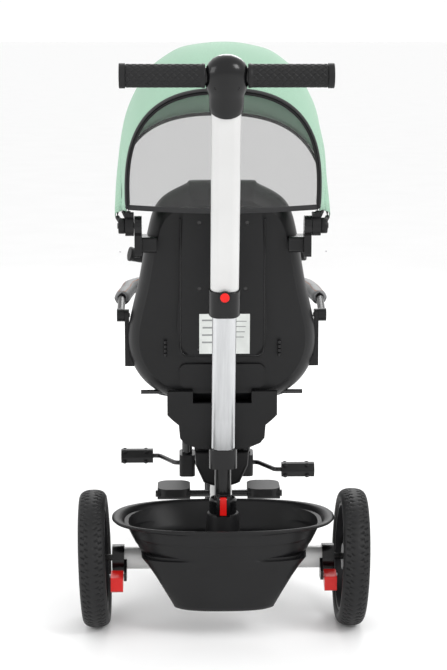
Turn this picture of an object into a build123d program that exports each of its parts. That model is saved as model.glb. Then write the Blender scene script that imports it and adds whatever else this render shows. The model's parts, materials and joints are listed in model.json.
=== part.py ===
"""A children's push tricycle with a turning seat, a folding canopy and a parent's handle.

Millimetres. +Z is up, +Y is the way it rides and +X is the rider's right.
The origin is on the floor under the middle of the tricycle.
"""

from build123d import *
from math import cos, radians, sin, tan
import os

os.makedirs("parts", exist_ok=True)

# Overall sizes
wheelbase = 620.0
track = 467.0
handle_reach = 266.5
wheel_camber = 2.0

# Wheels
rear_wheel_radius = 125.0
rear_tyre_width = 49.0
rear_tyre_depth = 27.0
front_wheel_radius = 150.0
front_tyre_width = 48.0
front_tyre_depth = 30.0
stub_axle_radius = 6.0
crank_rod_radius = 5.0

# Fits and gaps
running_fit = 0.05
clear_gap = 0.3

# Where the main stations lie
rear_axle_y = -(wheelbase + front_wheel_radius - handle_reach) / 2
front_axle_y = rear_axle_y + wheelbase
rear_axle_z = rear_wheel_radius
front_axle_z = front_wheel_radius
seat_axis_y = rear_axle_y + 200.0
handle_axis_y = rear_axle_y + 20.0


def write(builder, name):
    """Labels a finished piece and writes its STEP file."""
    builder.part.label = name
    export_step(builder.part, f"parts/{name}.step")


def cross_plane(x, y, z):
    """A plane across the X axis, whose own x runs along +Y and own y along +Z."""
    return Plane(origin=(x, y, z), x_dir=(0, 1, 0), z_dir=(1, 0, 0))


def rear_plane(y):
    """An upright plane facing +Y, whose own x runs along +X and own y along +Z."""
    return Plane(origin=(0, y, 0), x_dir=(1, 0, 0), z_dir=(0, -1, 0))


# Rear axle: a painted tube, a black sleeve at each end and a steel stub in each sleeve
axle_tube_radius = 20.0
axle_tube_wall = 2.5
axle_tube_half = 186.0
sleeve_radius = 25.0
sleeve_inner_x = 180.0
sleeve_outer_x = 202.0

with BuildPart() as axle_tube:
    with BuildSketch(cross_plane(-axle_tube_half, rear_axle_y, rear_axle_z)):
        Circle(axle_tube_radius)
        Circle(axle_tube_radius - axle_tube_wall, mode=Mode.SUBTRACT)
    extrude(amount=2 * axle_tube_half)
write(axle_tube, "rear_axle_tube")


def wheel_axis(side):
    """The way the stub axle points, outward and a little down, because the wheels lean in at the top."""
    return Vector(side * cos(radians(wheel_camber)), 0, -sin(radians(wheel_camber)))


def wheel_centre(side):
    """The middle of a rear wheel."""
    return Vector(side * track / 2, rear_axle_y, rear_axle_z)


def wheel_plane(side, offset=0.0):
    """The plane across a rear wheel's axle, a given way outward from the wheel's middle."""
    axis = wheel_axis(side)
    return Plane(origin=wheel_centre(side) + axis * offset, x_dir=(0, 1, 0), z_dir=axis)


stub_length = 62.0
stub_inner = -45.0

with BuildPart() as axle_sleeves:
    for side in (-1, 1):
        with BuildSketch(cross_plane(side * sleeve_inner_x, rear_axle_y, rear_axle_z)):
            Circle(sleeve_radius)
        extrude(amount=side * (sleeve_outer_x - sleeve_inner_x))
        with BuildSketch(cross_plane(side * sleeve_inner_x, rear_axle_y, rear_axle_z)):
            Circle(axle_tube_radius)
        extrude(amount=side * (axle_tube_half - sleeve_inner_x), mode=Mode.SUBTRACT)
        with BuildSketch(wheel_plane(side, stub_inner)):
            Circle(stub_axle_radius)
        extrude(amount=stub_length, mode=Mode.SUBTRACT)
write(axle_sleeves, "axle_sleeves")

with BuildPart() as stub_axles:
    for side in (-1, 1):
        with BuildSketch(wheel_plane(side, stub_inner)):
            Circle(stub_axle_radius)
        extrude(amount=stub_length)
write(stub_axles, "stub_axles")


# Rear wheels
rim_lip = 5.0
hub_radius = 24.0
hub_inner = -15.0
hub_outer = 14.0
spoke_count = 5
spoke_width = 22.0
rim_wall = 5.0


def axle_section(plane):
    """The plane through a wheel's axle, whose own x is the radius and own y is the way along the axle."""
    return Plane(origin=plane.origin, x_dir=plane.x_dir, z_dir=plane.x_dir.cross(plane.z_dir))


def make_tyre(plane, radius, width, depth):
    """A round-shouldered tyre about the given axle plane."""
    section = axle_section(plane)
    seat_radius = radius - depth
    half = width / 2
    with BuildPart() as tyre:
        with BuildSketch(section):
            with BuildLine():
                Spline(
                    (seat_radius, -half + rim_lip),
                    (seat_radius + depth * 0.45, -half),
                    (radius, 0),
                    (seat_radius + depth * 0.45, half),
                    (seat_radius, half - rim_lip),
                )
                Line((seat_radius, half - rim_lip), (seat_radius, rim_lip - half))
            make_face()
        revolve(axis=Axis(plane.origin, plane.z_dir))
    return tyre


def make_rim(plane, seat_radius, width, bore_radius):
    """A moulded rim: a channel for the tyre, a hub and wide spokes between them."""
    section = axle_section(plane)
    half = width / 2 - rim_lip
    with BuildPart() as rim:
        with BuildSketch(section):
            with Locations((seat_radius - rim_wall / 2, 0)):
                Rectangle(rim_wall, 2 * half)
            with Locations(((hub_radius + bore_radius) / 2, (hub_inner + hub_outer) / 2)):
                Rectangle(hub_radius - bore_radius, hub_outer - hub_inner)
        revolve(axis=Axis(plane.origin, plane.z_dir))
        with BuildSketch(plane.offset(-spoke_width / 4)):
            with PolarLocations((hub_radius + seat_radius - rim_wall) / 2, spoke_count):
                Rectangle(seat_radius - rim_wall - hub_radius + 4, spoke_width)
        extrude(amount=spoke_width / 2)
    return rim


for side, hand in ((-1, "left"), (1, "right")):
    tyre = make_tyre(wheel_plane(side), rear_wheel_radius, rear_tyre_width, rear_tyre_depth)
    write(tyre, f"rear_tyre_{hand}")
    rim = make_rim(
        wheel_plane(side),
        rear_wheel_radius - rear_tyre_depth,
        rear_tyre_width,
        stub_axle_radius + running_fit,
    )
    write(rim, f"rear_rim_{hand}")


# Brake pedals: red boxes that press down beside each rear wheel, about a pin in the sleeve's bracket
brake_pin_radius = 3.0
brake_pin_y = rear_axle_y - 38.0
brake_pin_z = rear_axle_z - 22.0
brake_inner_x = 181.0
brake_outer_x = 203.0
brake_pin_end_x = 206.0
brake_rear_y = rear_axle_y - 66.0
brake_low_z = rear_axle_z - 46.0
bracket_thickness = 5.0

with BuildPart() as brake_brackets:
    for side in (-1, 1):
        with BuildSketch(cross_plane(side * (sleeve_inner_x - bracket_thickness), 0, 0)):
            with BuildLine():
                Polyline(
                    (rear_axle_y - 12, rear_axle_z - axle_tube_radius * 0.4),
                    (rear_axle_y - 12, rear_axle_z - 32),
                    (brake_pin_y - 7, brake_pin_z - 8),
                    (brake_pin_y - 7, brake_pin_z + 8),
                    (rear_axle_y - 22, rear_axle_z + 4),
                    close=True,
                )
            make_face()
        extrude(amount=side * bracket_thickness)
        with BuildSketch(cross_plane(side * sleeve_inner_x * 0.9, rear_axle_y, rear_axle_z)):
            Circle(axle_tube_radius)
        extrude(amount=side * 40, mode=Mode.SUBTRACT)
        with BuildSketch(cross_plane(side * (brake_inner_x - 10), brake_pin_y, brake_pin_z)):
            Circle(brake_pin_radius)
        extrude(amount=side * 20, mode=Mode.SUBTRACT)
write(brake_brackets, "brake_brackets")

with BuildPart() as brake_pins:
    for side in (-1, 1):
        pin_start = side * (sleeve_inner_x - bracket_thickness)
        with BuildSketch(cross_plane(pin_start, brake_pin_y, brake_pin_z)):
            Circle(brake_pin_radius)
        extrude(amount=side * (brake_pin_end_x - abs(pin_start)))

for side, hand in ((-1, "left"), (1, "right")):
    with BuildPart() as brake:
        with BuildSketch(cross_plane(side * brake_inner_x, 0, 0)):
            with BuildLine():
                Polyline(
                    (brake_pin_y + 9, brake_pin_z - 9),
                    (brake_pin_y + 9, brake_pin_z + 7),
                    (brake_pin_y, brake_pin_z + 10),
                    (brake_rear_y, brake_pin_z + 4),
                    (brake_rear_y - 2, brake_low_z + 4),
                    (brake_rear_y + 6, brake_low_z),
                    close=True,
                )
            make_face()
        extrude(amount=side * (brake_outer_x - brake_inner_x))
        fillet(brake.edges().filter_by(Axis.X), 2.0)
        with BuildSketch(cross_plane(side * brake_inner_x, brake_pin_y, brake_pin_z)):
            Circle(brake_pin_radius + running_fit)
        extrude(amount=side * (brake_outer_x - brake_inner_x), mode=Mode.SUBTRACT)
    write(brake, f"brake_pedal_{hand}")


# Main beam: a painted tube from the rear axle, up and forward under the seat, to the head tube
steer_lean = 10.0
steer_dir = Vector(0, -sin(radians(steer_lean)), cos(radians(steer_lean)))
hub_centre = Vector(0, front_axle_y, front_axle_z)
beam_radius = 21.0
beam_wall = 2.5
head_low = 206.0
head_high = 300.0
head_radius = 22.0
steerer_radius = 14.0
bush_thickness = 3.0
bush_depth = 20.0


def steer_point(along):
    """A point on the steering axis, a given way up from the front hub."""
    return hub_centre + steer_dir * along


def steer_plane(along):
    """The plane across the steering axis, a given way up from the front hub."""
    return Plane(origin=steer_point(along), x_dir=(1, 0, 0), z_dir=steer_dir)


head_middle = steer_point((head_low + head_high) / 2)
beam_points = (
    (0, rear_axle_y, rear_axle_z),
    (0, rear_axle_y + 152, rear_axle_z),
    (0, rear_axle_y + 176, 262),
    (0, rear_axle_y + 395, 274),
    (0, head_middle.Y, head_middle.Z),
)
with BuildPart() as main_beam:
    with BuildLine():
        FilletPolyline(*beam_points, radius=40)
    with BuildSketch(Plane(origin=beam_points[0], x_dir=(1, 0, 0), z_dir=(0, 1, 0))):
        Circle(beam_radius)
        Circle(beam_radius - beam_wall, mode=Mode.SUBTRACT)
    sweep()
    with BuildSketch(cross_plane(-60, rear_axle_y, rear_axle_z)):
        Circle(axle_tube_radius)
    extrude(amount=120, mode=Mode.SUBTRACT)
    split(bisect_by=Plane(origin=(0, rear_axle_y, 0), z_dir=(0, 1, 0)), keep=Keep.TOP)
    with BuildSketch(steer_plane(head_low - 60)):
        Circle(head_radius)
    extrude(amount=head_high - head_low + 120, mode=Mode.SUBTRACT)

with BuildPart() as head_tube:
    with BuildSketch(steer_plane(head_low)):
        Circle(head_radius)
        Circle(steerer_radius + bush_thickness, mode=Mode.SUBTRACT)
    extrude(amount=head_high - head_low)

with BuildPart() as main_frame:
    add(main_beam.part)
    add(head_tube.part)
write(main_frame, "main_beam")

with BuildPart() as head_bushes:
    for start, flange in (
        (head_low - bush_thickness, head_low - bush_thickness),
        (head_high - bush_depth, head_high),
    ):
        with BuildSketch(steer_plane(start)):
            Circle(steerer_radius + bush_thickness)
        extrude(amount=bush_depth + bush_thickness)
        with BuildSketch(steer_plane(flange)):
            Circle(head_radius)
        extrude(amount=bush_thickness)
    with BuildSketch(steer_plane(head_low - 10)):
        Circle(steerer_radius + running_fit)
    extrude(amount=head_high - head_low + 20, mode=Mode.SUBTRACT)
write(head_bushes, "head_bushes")


# Beam cover: the moulded housing that the turntable stands on
cover_top_z = 300.0
cover_low_z = 231.0
cover_half = 51.0
cover_rear_y = rear_axle_y + 100.0
cover_front_y = rear_axle_y + 318.0
with BuildPart() as beam_cover:
    with BuildSketch(rear_plane(cover_rear_y)):
        with BuildLine():
            Line((-cover_half, cover_top_z), (cover_half, cover_top_z))
            Polyline((cover_half, cover_top_z), (cover_half - 2, cover_top_z - 28), (34, cover_low_z + 8))
            ThreePointArc((34, cover_low_z + 8), (0, cover_low_z), (-34, cover_low_z + 8))
            Polyline((-34, cover_low_z + 8), (2 - cover_half, cover_top_z - 28), (-cover_half, cover_top_z))
        make_face()
    extrude(amount=-(cover_front_y - cover_rear_y))
    fillet(beam_cover.faces().sort_by(Axis.Y)[0].edges(), 6.0)
    fillet(beam_cover.faces().sort_by(Axis.Y)[-1].edges(), 6.0)
    add(main_beam.part, mode=Mode.SUBTRACT)
    with BuildLine():
        FilletPolyline(*beam_points, radius=40)
    with BuildSketch(Plane(origin=beam_points[0], x_dir=(1, 0, 0), z_dir=(0, 1, 0))):
        Circle(beam_radius)
    sweep(mode=Mode.SUBTRACT)
write(beam_cover, "beam_cover")


# Basket: a tub behind the axle and a shallow tray over it, with a boss round the handle's socket
basket_rim_z = 205.0
basket_floor_z = 54.0
tray_floor_z = 150.0
basket_wall = 3.0
basket_rear_y = rear_axle_y - 110.0
basket_front_y = rear_axle_y + 112.0
tub_front_y = rear_axle_y - 26.0
basket_half = 199.0
rim_height = 7.0
rim_proud = 3.5
boss_radius = 30.0
socket_radius = 16.0
tub_stations = ((basket_floor_z, 92.0, 14.0), (88.0, 108.0, 9.0), (126.0, 141.0, 5.0), (162.0, 166.0, 1.0))
tray_stations = ((tray_floor_z, 158.0, 3.0), (178.0, 178.0, 1.5), (basket_rim_z, basket_half, 0.0))


def level_middle(inset, wall, front):
    """Where one level of the basket has its middle, along Y."""
    return (basket_rear_y + inset + wall + front - wall) / 2


def level_size(half, inset, wall, front):
    """The width, depth and corner radius of one level of the basket."""
    width = 2 * (half - wall)
    depth = front - basket_rear_y - inset - 2 * wall
    return width, depth, min(depth, width) * 0.3


def basket_body(stations, wall, tray):
    """The space inside a wall of the given thickness, lofted through the levels of the tub or the tray."""
    with BuildPart() as body:
        for index, (z, half, inset) in enumerate(stations):
            front = basket_front_y - inset * 8 if tray else tub_front_y
            with BuildSketch(Plane.XY.offset(z + (wall if index == 0 else 0))):
                with Locations((0, level_middle(inset, wall, front))):
                    RectangleRounded(*level_size(half, inset, wall, front))
        loft()
    return body.part


tub_outside = basket_body(tub_stations, 0.0, False)
tray_outside = basket_body(tray_stations, 0.0, True)
tub_inside = basket_body(tub_stations, basket_wall, False)
tray_inside = basket_body(tray_stations, basket_wall, True)

with BuildPart() as basket:
    add(tub_outside)
    add(tray_outside)
    with BuildSketch(Plane.XY.offset(basket_rim_z - rim_height)):
        with Locations((0, (basket_rear_y + basket_front_y) / 2)):
            RectangleRounded(
                2 * (basket_half + rim_proud), basket_front_y - basket_rear_y + 2 * rim_proud, 70
            )
    extrude(amount=rim_height)
    add(tub_inside, mode=Mode.SUBTRACT)
    add(tray_inside, mode=Mode.SUBTRACT)
    with BuildSketch(Plane.XY.offset(tray_floor_z)):
        with Locations((0, handle_axis_y)):
            Circle(boss_radius)
    extrude(amount=basket_rim_z - tray_floor_z)
    with BuildSketch(Plane.XY.offset(tray_floor_z - 5)):
        with Locations((0, handle_axis_y)):
            Circle(socket_radius + clear_gap)
    extrude(amount=basket_rim_z, mode=Mode.SUBTRACT)
write(basket, "basket")


# Handle socket on the rear axle, with the round collar and the red release latch on top of the boss
socket_top_z = 236.0
spigot_radius = 12.0
collar_radius = 25.0
collar_height = 28.0
with BuildPart() as handle_socket:
    with BuildSketch(Plane.XY.offset(rear_axle_z)):
        with Locations((0, handle_axis_y)):
            Circle(socket_radius)
    extrude(amount=socket_top_z - rear_axle_z)
    with BuildSketch(Plane.XY.offset(rear_axle_z + 42)):
        with Locations((0, handle_axis_y)):
            Circle(spigot_radius + running_fit)
    extrude(amount=socket_top_z, mode=Mode.SUBTRACT)
    add(axle_tube.part, mode=Mode.SUBTRACT)
    with BuildSketch(cross_plane(-60, rear_axle_y, rear_axle_z)):
        Circle(axle_tube_radius)
    extrude(amount=120, mode=Mode.SUBTRACT)
    with BuildLine():
        Line(beam_points[0], (0, rear_axle_y + 90, rear_axle_z))
    with BuildSketch(Plane(origin=beam_points[0], x_dir=(1, 0, 0), z_dir=(0, 1, 0))):
        Circle(beam_radius)
    sweep(mode=Mode.SUBTRACT)
write(handle_socket, "handle_socket")

collar_top_z = basket_rim_z + collar_height
latch_pin_z = collar_top_z + 4.0
latch_pin_radius = 1.5
latch_pin_y = handle_axis_y - collar_radius - 7.0
latch_rear_y = handle_axis_y - collar_radius - 12.0
with BuildPart() as basket_collar:
    with BuildSketch(Plane.XY.offset(basket_rim_z)):
        with Locations((0, handle_axis_y)):
            Circle(collar_radius)
    extrude(amount=collar_height)
    fillet(basket_collar.faces().sort_by(Axis.Z)[-1].edges(), 5.0)
    with BuildSketch(Plane.XY.offset(basket_rim_z)):
        with Locations((0, handle_axis_y - collar_radius - 1)):
            Rectangle(24, 20)
    extrude(amount=collar_height + 10)
    with BuildSketch(Plane.XY.offset(basket_rim_z - 1)):
        with Locations((0, handle_axis_y - collar_radius - 10)):
            Rectangle(14, 18)
    extrude(amount=collar_height + 20, mode=Mode.SUBTRACT)
    with BuildSketch(Plane.XY.offset(basket_rim_z - 1)):
        with Locations((0, handle_axis_y)):
            Circle(socket_radius + clear_gap)
    extrude(amount=collar_height + 20, mode=Mode.SUBTRACT)
    with BuildSketch(cross_plane(-12, latch_pin_y, latch_pin_z)):
        Circle(latch_pin_radius)
    extrude(amount=24, mode=Mode.SUBTRACT)
write(basket_collar, "basket_collar")

with BuildPart() as latch_pin:
    with BuildSketch(cross_plane(-11, latch_pin_y, latch_pin_z)):
        Circle(latch_pin_radius)
    extrude(amount=22)

with BuildPart() as pivot_pins:
    add(brake_pins.part)
    add(latch_pin.part)
write(pivot_pins, "pivot_pins")

with BuildPart() as release_latch:
    with BuildSketch(cross_plane(-6, 0, 0)):
        with BuildLine():
            Polyline(
                (latch_rear_y + 2, basket_rim_z + 2),
                (latch_rear_y + 7, basket_rim_z + 1),
                (latch_rear_y + 9, latch_pin_z + 3),
                (latch_rear_y + 2, latch_pin_z + 3),
                close=True,
            )
        make_face()
    extrude(amount=12)
    fillet(release_latch.edges().filter_by(Axis.X), 1.2)
    with BuildSketch(cross_plane(-7, latch_pin_y, latch_pin_z)):
        Circle(latch_pin_radius + running_fit)
    extrude(amount=14, mode=Mode.SUBTRACT)
write(release_latch, "release_latch")


# Parent's handle, lower half: a spigot in the socket, a clamp and the bent brushed tube
handle_lean = 20.3
bend_z = 392.0
clamp_low_z = 292.0
clamp_high_z = 330.0
clamp_width = 50.0
clamp_depth = 46.0
neck_radius = 15.0
neck_low_z = socket_top_z + clear_gap
lower_start_y = rear_axle_y + 6.0
lower_start_z = 318.0
handle_dir = Vector(0, -sin(radians(handle_lean)), cos(radians(handle_lean)))
handle_foot = Vector(0, rear_axle_y - 18.0, bend_z)


def handle_point(along):
    """A point on the handle's straight line, a given way up from its bend."""
    return handle_foot + handle_dir * along


def handle_plane(along):
    """The plane across the handle's straight line, whose own y runs roughly forward."""
    return Plane(origin=handle_point(along), x_dir=(1, 0, 0), z_dir=handle_dir)


inner_depth = 26.0
inner_width = 42.0
inner_end = 415.0
inner_corner = 12.0
outer_corner = 14.0
outer_start = 232.0
outer_end = 590.0
outer_width = 49.0
outer_depth = 30.0
tube_wall = 1.8

with BuildPart() as lower_handle_tube:
    with BuildSketch(Plane(origin=(0, lower_start_y, lower_start_z), x_dir=(1, 0, 0), z_dir=(0, -0.1, 1))):
        RectangleRounded(inner_width, inner_depth, inner_corner)
    with BuildSketch(handle_plane(0)):
        RectangleRounded(inner_width, inner_depth, inner_corner)
    loft()
    with BuildSketch(handle_plane(0)):
        RectangleRounded(inner_width, inner_depth, inner_corner)
    extrude(amount=inner_end)
write(lower_handle_tube, "lower_handle_tube")

with BuildPart() as handle_clamp:
    with BuildSketch(Plane.XY.offset(clamp_low_z)):
        with Locations((0, handle_axis_y - 8)):
            RectangleRounded(clamp_width, clamp_depth, outer_corner)
    extrude(amount=clamp_high_z - clamp_low_z)
    fillet(handle_clamp.faces().sort_by(Axis.Z)[-1].edges(), 4.0)
    with BuildSketch(Plane.XY.offset(neck_low_z)):
        with Locations((0, handle_axis_y)):
            Circle(neck_radius)
    extrude(amount=clamp_low_z - neck_low_z + 5)
    with BuildSketch(Plane.XY.offset(rear_axle_z + 60)):
        with Locations((0, handle_axis_y)):
            Circle(spigot_radius)
    extrude(amount=neck_low_z - rear_axle_z - 60 + 2)
    add(lower_handle_tube.part, mode=Mode.SUBTRACT)
write(handle_clamp, "handle_clamp")


# Parent's handle, upper half: it slides over the lower tube and locks with the red button
with BuildPart() as upper_handle_tube:
    with BuildSketch(handle_plane(outer_start)):
        RectangleRounded(outer_width, outer_depth, outer_corner)
        RectangleRounded(outer_width - 2 * tube_wall, outer_depth - 2 * tube_wall, 12.5, mode=Mode.SUBTRACT)
    extrude(amount=outer_end - outer_start)
write(upper_handle_tube, "upper_handle_tube")

collar_low = 212.0
collar_high = 262.0
button_along = 247.0
button_radius = 8.0
button_travel = 3.0
collar_depth = outer_depth + 8
with BuildPart() as telescope_collar:
    with BuildSketch(handle_plane(collar_low)):
        RectangleRounded(outer_width + 5, collar_depth, 17)
    extrude(amount=collar_high - collar_low)
    fillet(telescope_collar.faces().sort_by(Axis.Z)[-1].edges(), 2.5)
    with BuildSketch(handle_plane(collar_low)):
        RectangleRounded(inner_width + 1, inner_depth + 1, 12.5)
    extrude(amount=collar_high - collar_low, mode=Mode.SUBTRACT)
    with BuildSketch(handle_plane(outer_start)):
        RectangleRounded(outer_width, outer_depth, outer_corner)
    extrude(amount=collar_high - outer_start + 5, mode=Mode.SUBTRACT)
    button_plane = Plane(
        origin=handle_point(button_along) + Vector(0, -1, 0) * (collar_depth / 2 + 6),
        x_dir=(1, 0, 0),
        z_dir=(0, 1, 0),
    )
    with BuildSketch(button_plane):
        Circle(button_radius + 3)
    extrude(amount=10)
    with BuildSketch(handle_plane(outer_start)):
        RectangleRounded(outer_width, outer_depth, outer_corner)
    extrude(amount=collar_high - outer_start + 5, mode=Mode.SUBTRACT)
    with BuildSketch(button_plane):
        Circle(button_radius + running_fit)
    extrude(amount=7, mode=Mode.SUBTRACT)
write(telescope_collar, "telescope_collar")

with BuildPart() as telescope_button:
    with BuildSketch(button_plane.offset(-button_travel)):
        Circle(button_radius)
    extrude(amount=6)
    fillet(telescope_button.faces().sort_by(Axis.Y)[0].edges(), 1.5)
write(telescope_button, "telescope_button")

# Handle bar: a T-shaped housing with a rubber grip on each side
bar_z = 1002.0
bar_y = handle_point((bar_z - bend_z) / cos(radians(handle_lean))).Y
bar_half = 174.0
grip_radius = 19.0
grip_start = 36.0
grip_cap_length = 8.0
bar_core_radius = 14.0
with BuildPart() as handle_housing:
    with BuildSketch(Plane(origin=handle_point(outer_end - 34), x_dir=(1, 0, 0), z_dir=handle_dir)):
        RectangleRounded(56, 40, 18)
    with BuildSketch(Plane(origin=(0, bar_y, bar_z - 16), x_dir=(1, 0, 0), z_dir=handle_dir)):
        RectangleRounded(70, 50, 22)
    with BuildSketch(Plane(origin=(0, bar_y, bar_z + 14), x_dir=(1, 0, 0), z_dir=handle_dir)):
        RectangleRounded(72, 50, 22)
    with BuildSketch(Plane(origin=(0, bar_y - 6, bar_z + 34), x_dir=(1, 0, 0), z_dir=handle_dir)):
        RectangleRounded(40, 26, 12)
    loft()
    with BuildSketch(cross_plane(-bar_half + 3, bar_y, bar_z)):
        Circle(bar_core_radius)
    extrude(amount=2 * (bar_half - 3))
    with BuildSketch(handle_plane(outer_start)):
        RectangleRounded(outer_width, outer_depth, outer_corner)
    extrude(amount=outer_end - outer_start, mode=Mode.SUBTRACT)
write(handle_housing, "handle_housing")

with BuildPart() as handle_grips:
    for side in (-1, 1):
        with BuildSketch(cross_plane(side * grip_start, bar_y, bar_z)):
            Circle(grip_radius)
            Circle(bar_core_radius, mode=Mode.SUBTRACT)
        extrude(amount=side * (bar_half - grip_cap_length - grip_start))
    add(handle_housing.part, mode=Mode.SUBTRACT)

with BuildPart() as grip_end_caps:
    for side in (-1, 1):
        with BuildSketch(cross_plane(side * (bar_half - grip_cap_length), bar_y, bar_z)):
            Circle(grip_radius + 1)
        extrude(amount=side * grip_cap_length)
    fillet(grip_end_caps.faces().sort_by(Axis.X)[0].edges(), 2.5)
    fillet(grip_end_caps.faces().sort_by(Axis.X)[-1].edges(), 2.5)
    add(handle_housing.part, mode=Mode.SUBTRACT)

with BuildPart() as capped_grips:
    add(handle_grips.part)
    add(grip_end_caps.part)
write(capped_grips, "handle_grips")


# Front end: fork, fork-end covers, stem, child's handlebar and grips, all turning on the steering axis
fork_half = 63.0
fork_tube_radius = 11.0
fork_low = -14.0
crown_low = 172.0
crown_height = 26.0
stem_low = 306.0
stem_high = 462.0
stem_radius = 19.0
dropout_slot = crank_rod_radius + 0.3

with BuildPart() as fork:
    for side in (-1, 1):
        with BuildSketch(steer_plane(fork_low)):
            with Locations((side * fork_half, 0)):
                Circle(fork_tube_radius)
        extrude(amount=crown_low - fork_low + 4)
    with BuildSketch(steer_plane(crown_low)):
        SlotOverall(2 * (fork_half + fork_tube_radius) + 6, 34)
    extrude(amount=crown_height)
    with BuildSketch(steer_plane(crown_low)):
        Circle(steerer_radius)
    extrude(amount=stem_low + 60 - crown_low)
    with BuildSketch(cross_plane(-100, front_axle_y, front_axle_z)):
        Circle(dropout_slot)
    extrude(amount=200, mode=Mode.SUBTRACT)
write(fork, "fork")

cover_half_width = 17.0
with BuildPart() as fork_end_covers:
    for side in (-1, 1):
        with BuildSketch(steer_plane(-26)):
            with Locations((side * fork_half, 0)):
                RectangleRounded(2 * cover_half_width, 36, 8)
        extrude(amount=50)
    add(fork.part, mode=Mode.SUBTRACT)
    with BuildSketch(cross_plane(-100, front_axle_y, front_axle_z)):
        Circle(dropout_slot)
    extrude(amount=200, mode=Mode.SUBTRACT)
write(fork_end_covers, "fork_end_covers")

fender_gap = 12.0
fender_wall = 3.0
with BuildPart() as mudguard:
    fender_section = Plane(origin=hub_centre, x_dir=steer_dir, z_dir=steer_dir.cross(Vector(1, 0, 0)))
    with BuildSketch(fender_section):
        with Locations((front_wheel_radius + fender_gap + fender_wall / 2, 0)):
            Rectangle(fender_wall, front_tyre_width + 14)
    revolve(axis=Axis(hub_centre, (1, 0, 0)), revolution_arc=52)
    with BuildSketch(fender_section):
        with Locations((front_wheel_radius + fender_gap + fender_wall / 2, 0)):
            Rectangle(fender_wall, front_tyre_width + 14)
    revolve(axis=Axis(hub_centre, (-1, 0, 0)), revolution_arc=52)
    add(fork.part, mode=Mode.SUBTRACT)
write(mudguard, "mudguard")

child_bar_half = 178.0
child_bar_radius = 11.0
child_grip_radius = 14.0
child_grip_length = 105.0
stem_top = steer_point(stem_high)
bar_centre_y = stem_top.Y + 4
child_bar_points = (
    (-child_bar_half + 4, bar_centre_y - 34, stem_top.Z + 16),
    (-70, bar_centre_y, stem_top.Z - 8),
    (70, bar_centre_y, stem_top.Z - 8),
    (child_bar_half - 4, bar_centre_y - 34, stem_top.Z + 16),
)
bar_end_dir = Vector(*child_bar_points[1]) - Vector(*child_bar_points[0])
with BuildPart() as child_handlebar:
    with BuildLine():
        FilletPolyline(*child_bar_points, radius=40)
    with BuildSketch(Plane(origin=child_bar_points[0], z_dir=bar_end_dir)):
        Circle(child_bar_radius)
    sweep()
write(child_handlebar, "child_handlebar")

with BuildPart() as stem:
    with BuildSketch(steer_plane(stem_low)):
        RectangleRounded(2 * stem_radius, 2 * stem_radius, 12)
    with BuildSketch(steer_plane(stem_high - 40)):
        RectangleRounded(2 * stem_radius + 4, 2 * stem_radius + 4, 14)
    with BuildSketch(steer_plane(stem_high + 18)):
        RectangleRounded(66, 48, 18)
    loft()
    add(child_handlebar.part, mode=Mode.SUBTRACT)
    add(fork.part, mode=Mode.SUBTRACT)
write(stem, "stem")

with BuildPart() as child_grips:
    for side in (0, -1):
        start = Vector(*child_bar_points[side])
        inward = (Vector(*child_bar_points[1 if side == 0 else -2]) - start).normalized()
        with BuildSketch(Plane(origin=start - inward * 5, z_dir=inward)):
            Circle(child_grip_radius)
        extrude(amount=child_grip_length)
    add(child_handlebar.part, mode=Mode.SUBTRACT)
write(child_grips, "child_grips")


# Front wheel, turned by its pedals through a bent steel rod that is also its axle
front_plane = cross_plane(0, front_axle_y, front_axle_z)
write(make_tyre(front_plane, front_wheel_radius, front_tyre_width, front_tyre_depth), "front_tyre")
front_rim = make_rim(
    front_plane, front_wheel_radius - front_tyre_depth, front_tyre_width, crank_rod_radius
)
write(front_rim, "front_rim")

crank_reach = 65.0
crank_inner_x = 90.0
crank_outer_x = 124.0
pedal_end_x = 204.0
crank_points = (
    (-pedal_end_x, front_axle_y + crank_reach, front_axle_z),
    (-crank_outer_x, front_axle_y + crank_reach, front_axle_z),
    (-crank_inner_x, front_axle_y, front_axle_z),
    (crank_inner_x, front_axle_y, front_axle_z),
    (crank_outer_x, front_axle_y - crank_reach, front_axle_z),
    (pedal_end_x, front_axle_y - crank_reach, front_axle_z),
)
with BuildPart() as crank_rod:
    with BuildLine():
        FilletPolyline(*crank_points, radius=12)
    with BuildSketch(cross_plane(*crank_points[0])):
        Circle(crank_rod_radius)
    sweep()
write(crank_rod, "crank_rod")

pedal_length = 70.0
pedal_radius = 17.0
for side, hand in ((-1, "left"), (1, "right")):
    pedal_y = front_axle_y - side * crank_reach
    with BuildPart() as pedal:
        with BuildSketch(cross_plane(side * (pedal_end_x - pedal_length + 4), pedal_y, front_axle_z)):
            RegularPolygon(pedal_radius, 6)
        extrude(amount=side * pedal_length)
        fillet(pedal.edges().filter_by(Axis.X), 4.0)
        with BuildSketch(cross_plane(side * (crank_outer_x + 4), pedal_y, front_axle_z)):
            Circle(crank_rod_radius + running_fit)
        extrude(amount=side * (pedal_end_x - crank_outer_x - 4 + clear_gap), mode=Mode.SUBTRACT)
    write(pedal, f"pedal_{hand}")


# Footrests: two folding plates on a steel bar under the beam
footrest_y = rear_axle_y + 360.0
footrest_bar_z = 150.0
footrest_bar_radius = 7.0
footrest_inner_x = 58.0
footrest_outer_x = 124.0
with BuildPart() as footrest_bar:
    with BuildSketch(cross_plane(-footrest_outer_x - 4, footrest_y, footrest_bar_z)):
        Circle(footrest_bar_radius)
    extrude(amount=2 * footrest_outer_x + 8)

with BuildPart() as footrest_bracket:
    with BuildSketch(rear_plane(footrest_y + 14)):
        with Locations((0, (footrest_bar_z - 16 + 250) / 2)):
            Rectangle(34, 250 - footrest_bar_z + 16)
    extrude(amount=28)
    fillet(footrest_bracket.edges().filter_by(Axis.Z), 5.0)
    add(footrest_bar.part, mode=Mode.SUBTRACT)

with BuildPart() as footrest_frame:
    add(footrest_bar.part)
    add(footrest_bracket.part)
write(footrest_frame, "footrest_frame")

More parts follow.
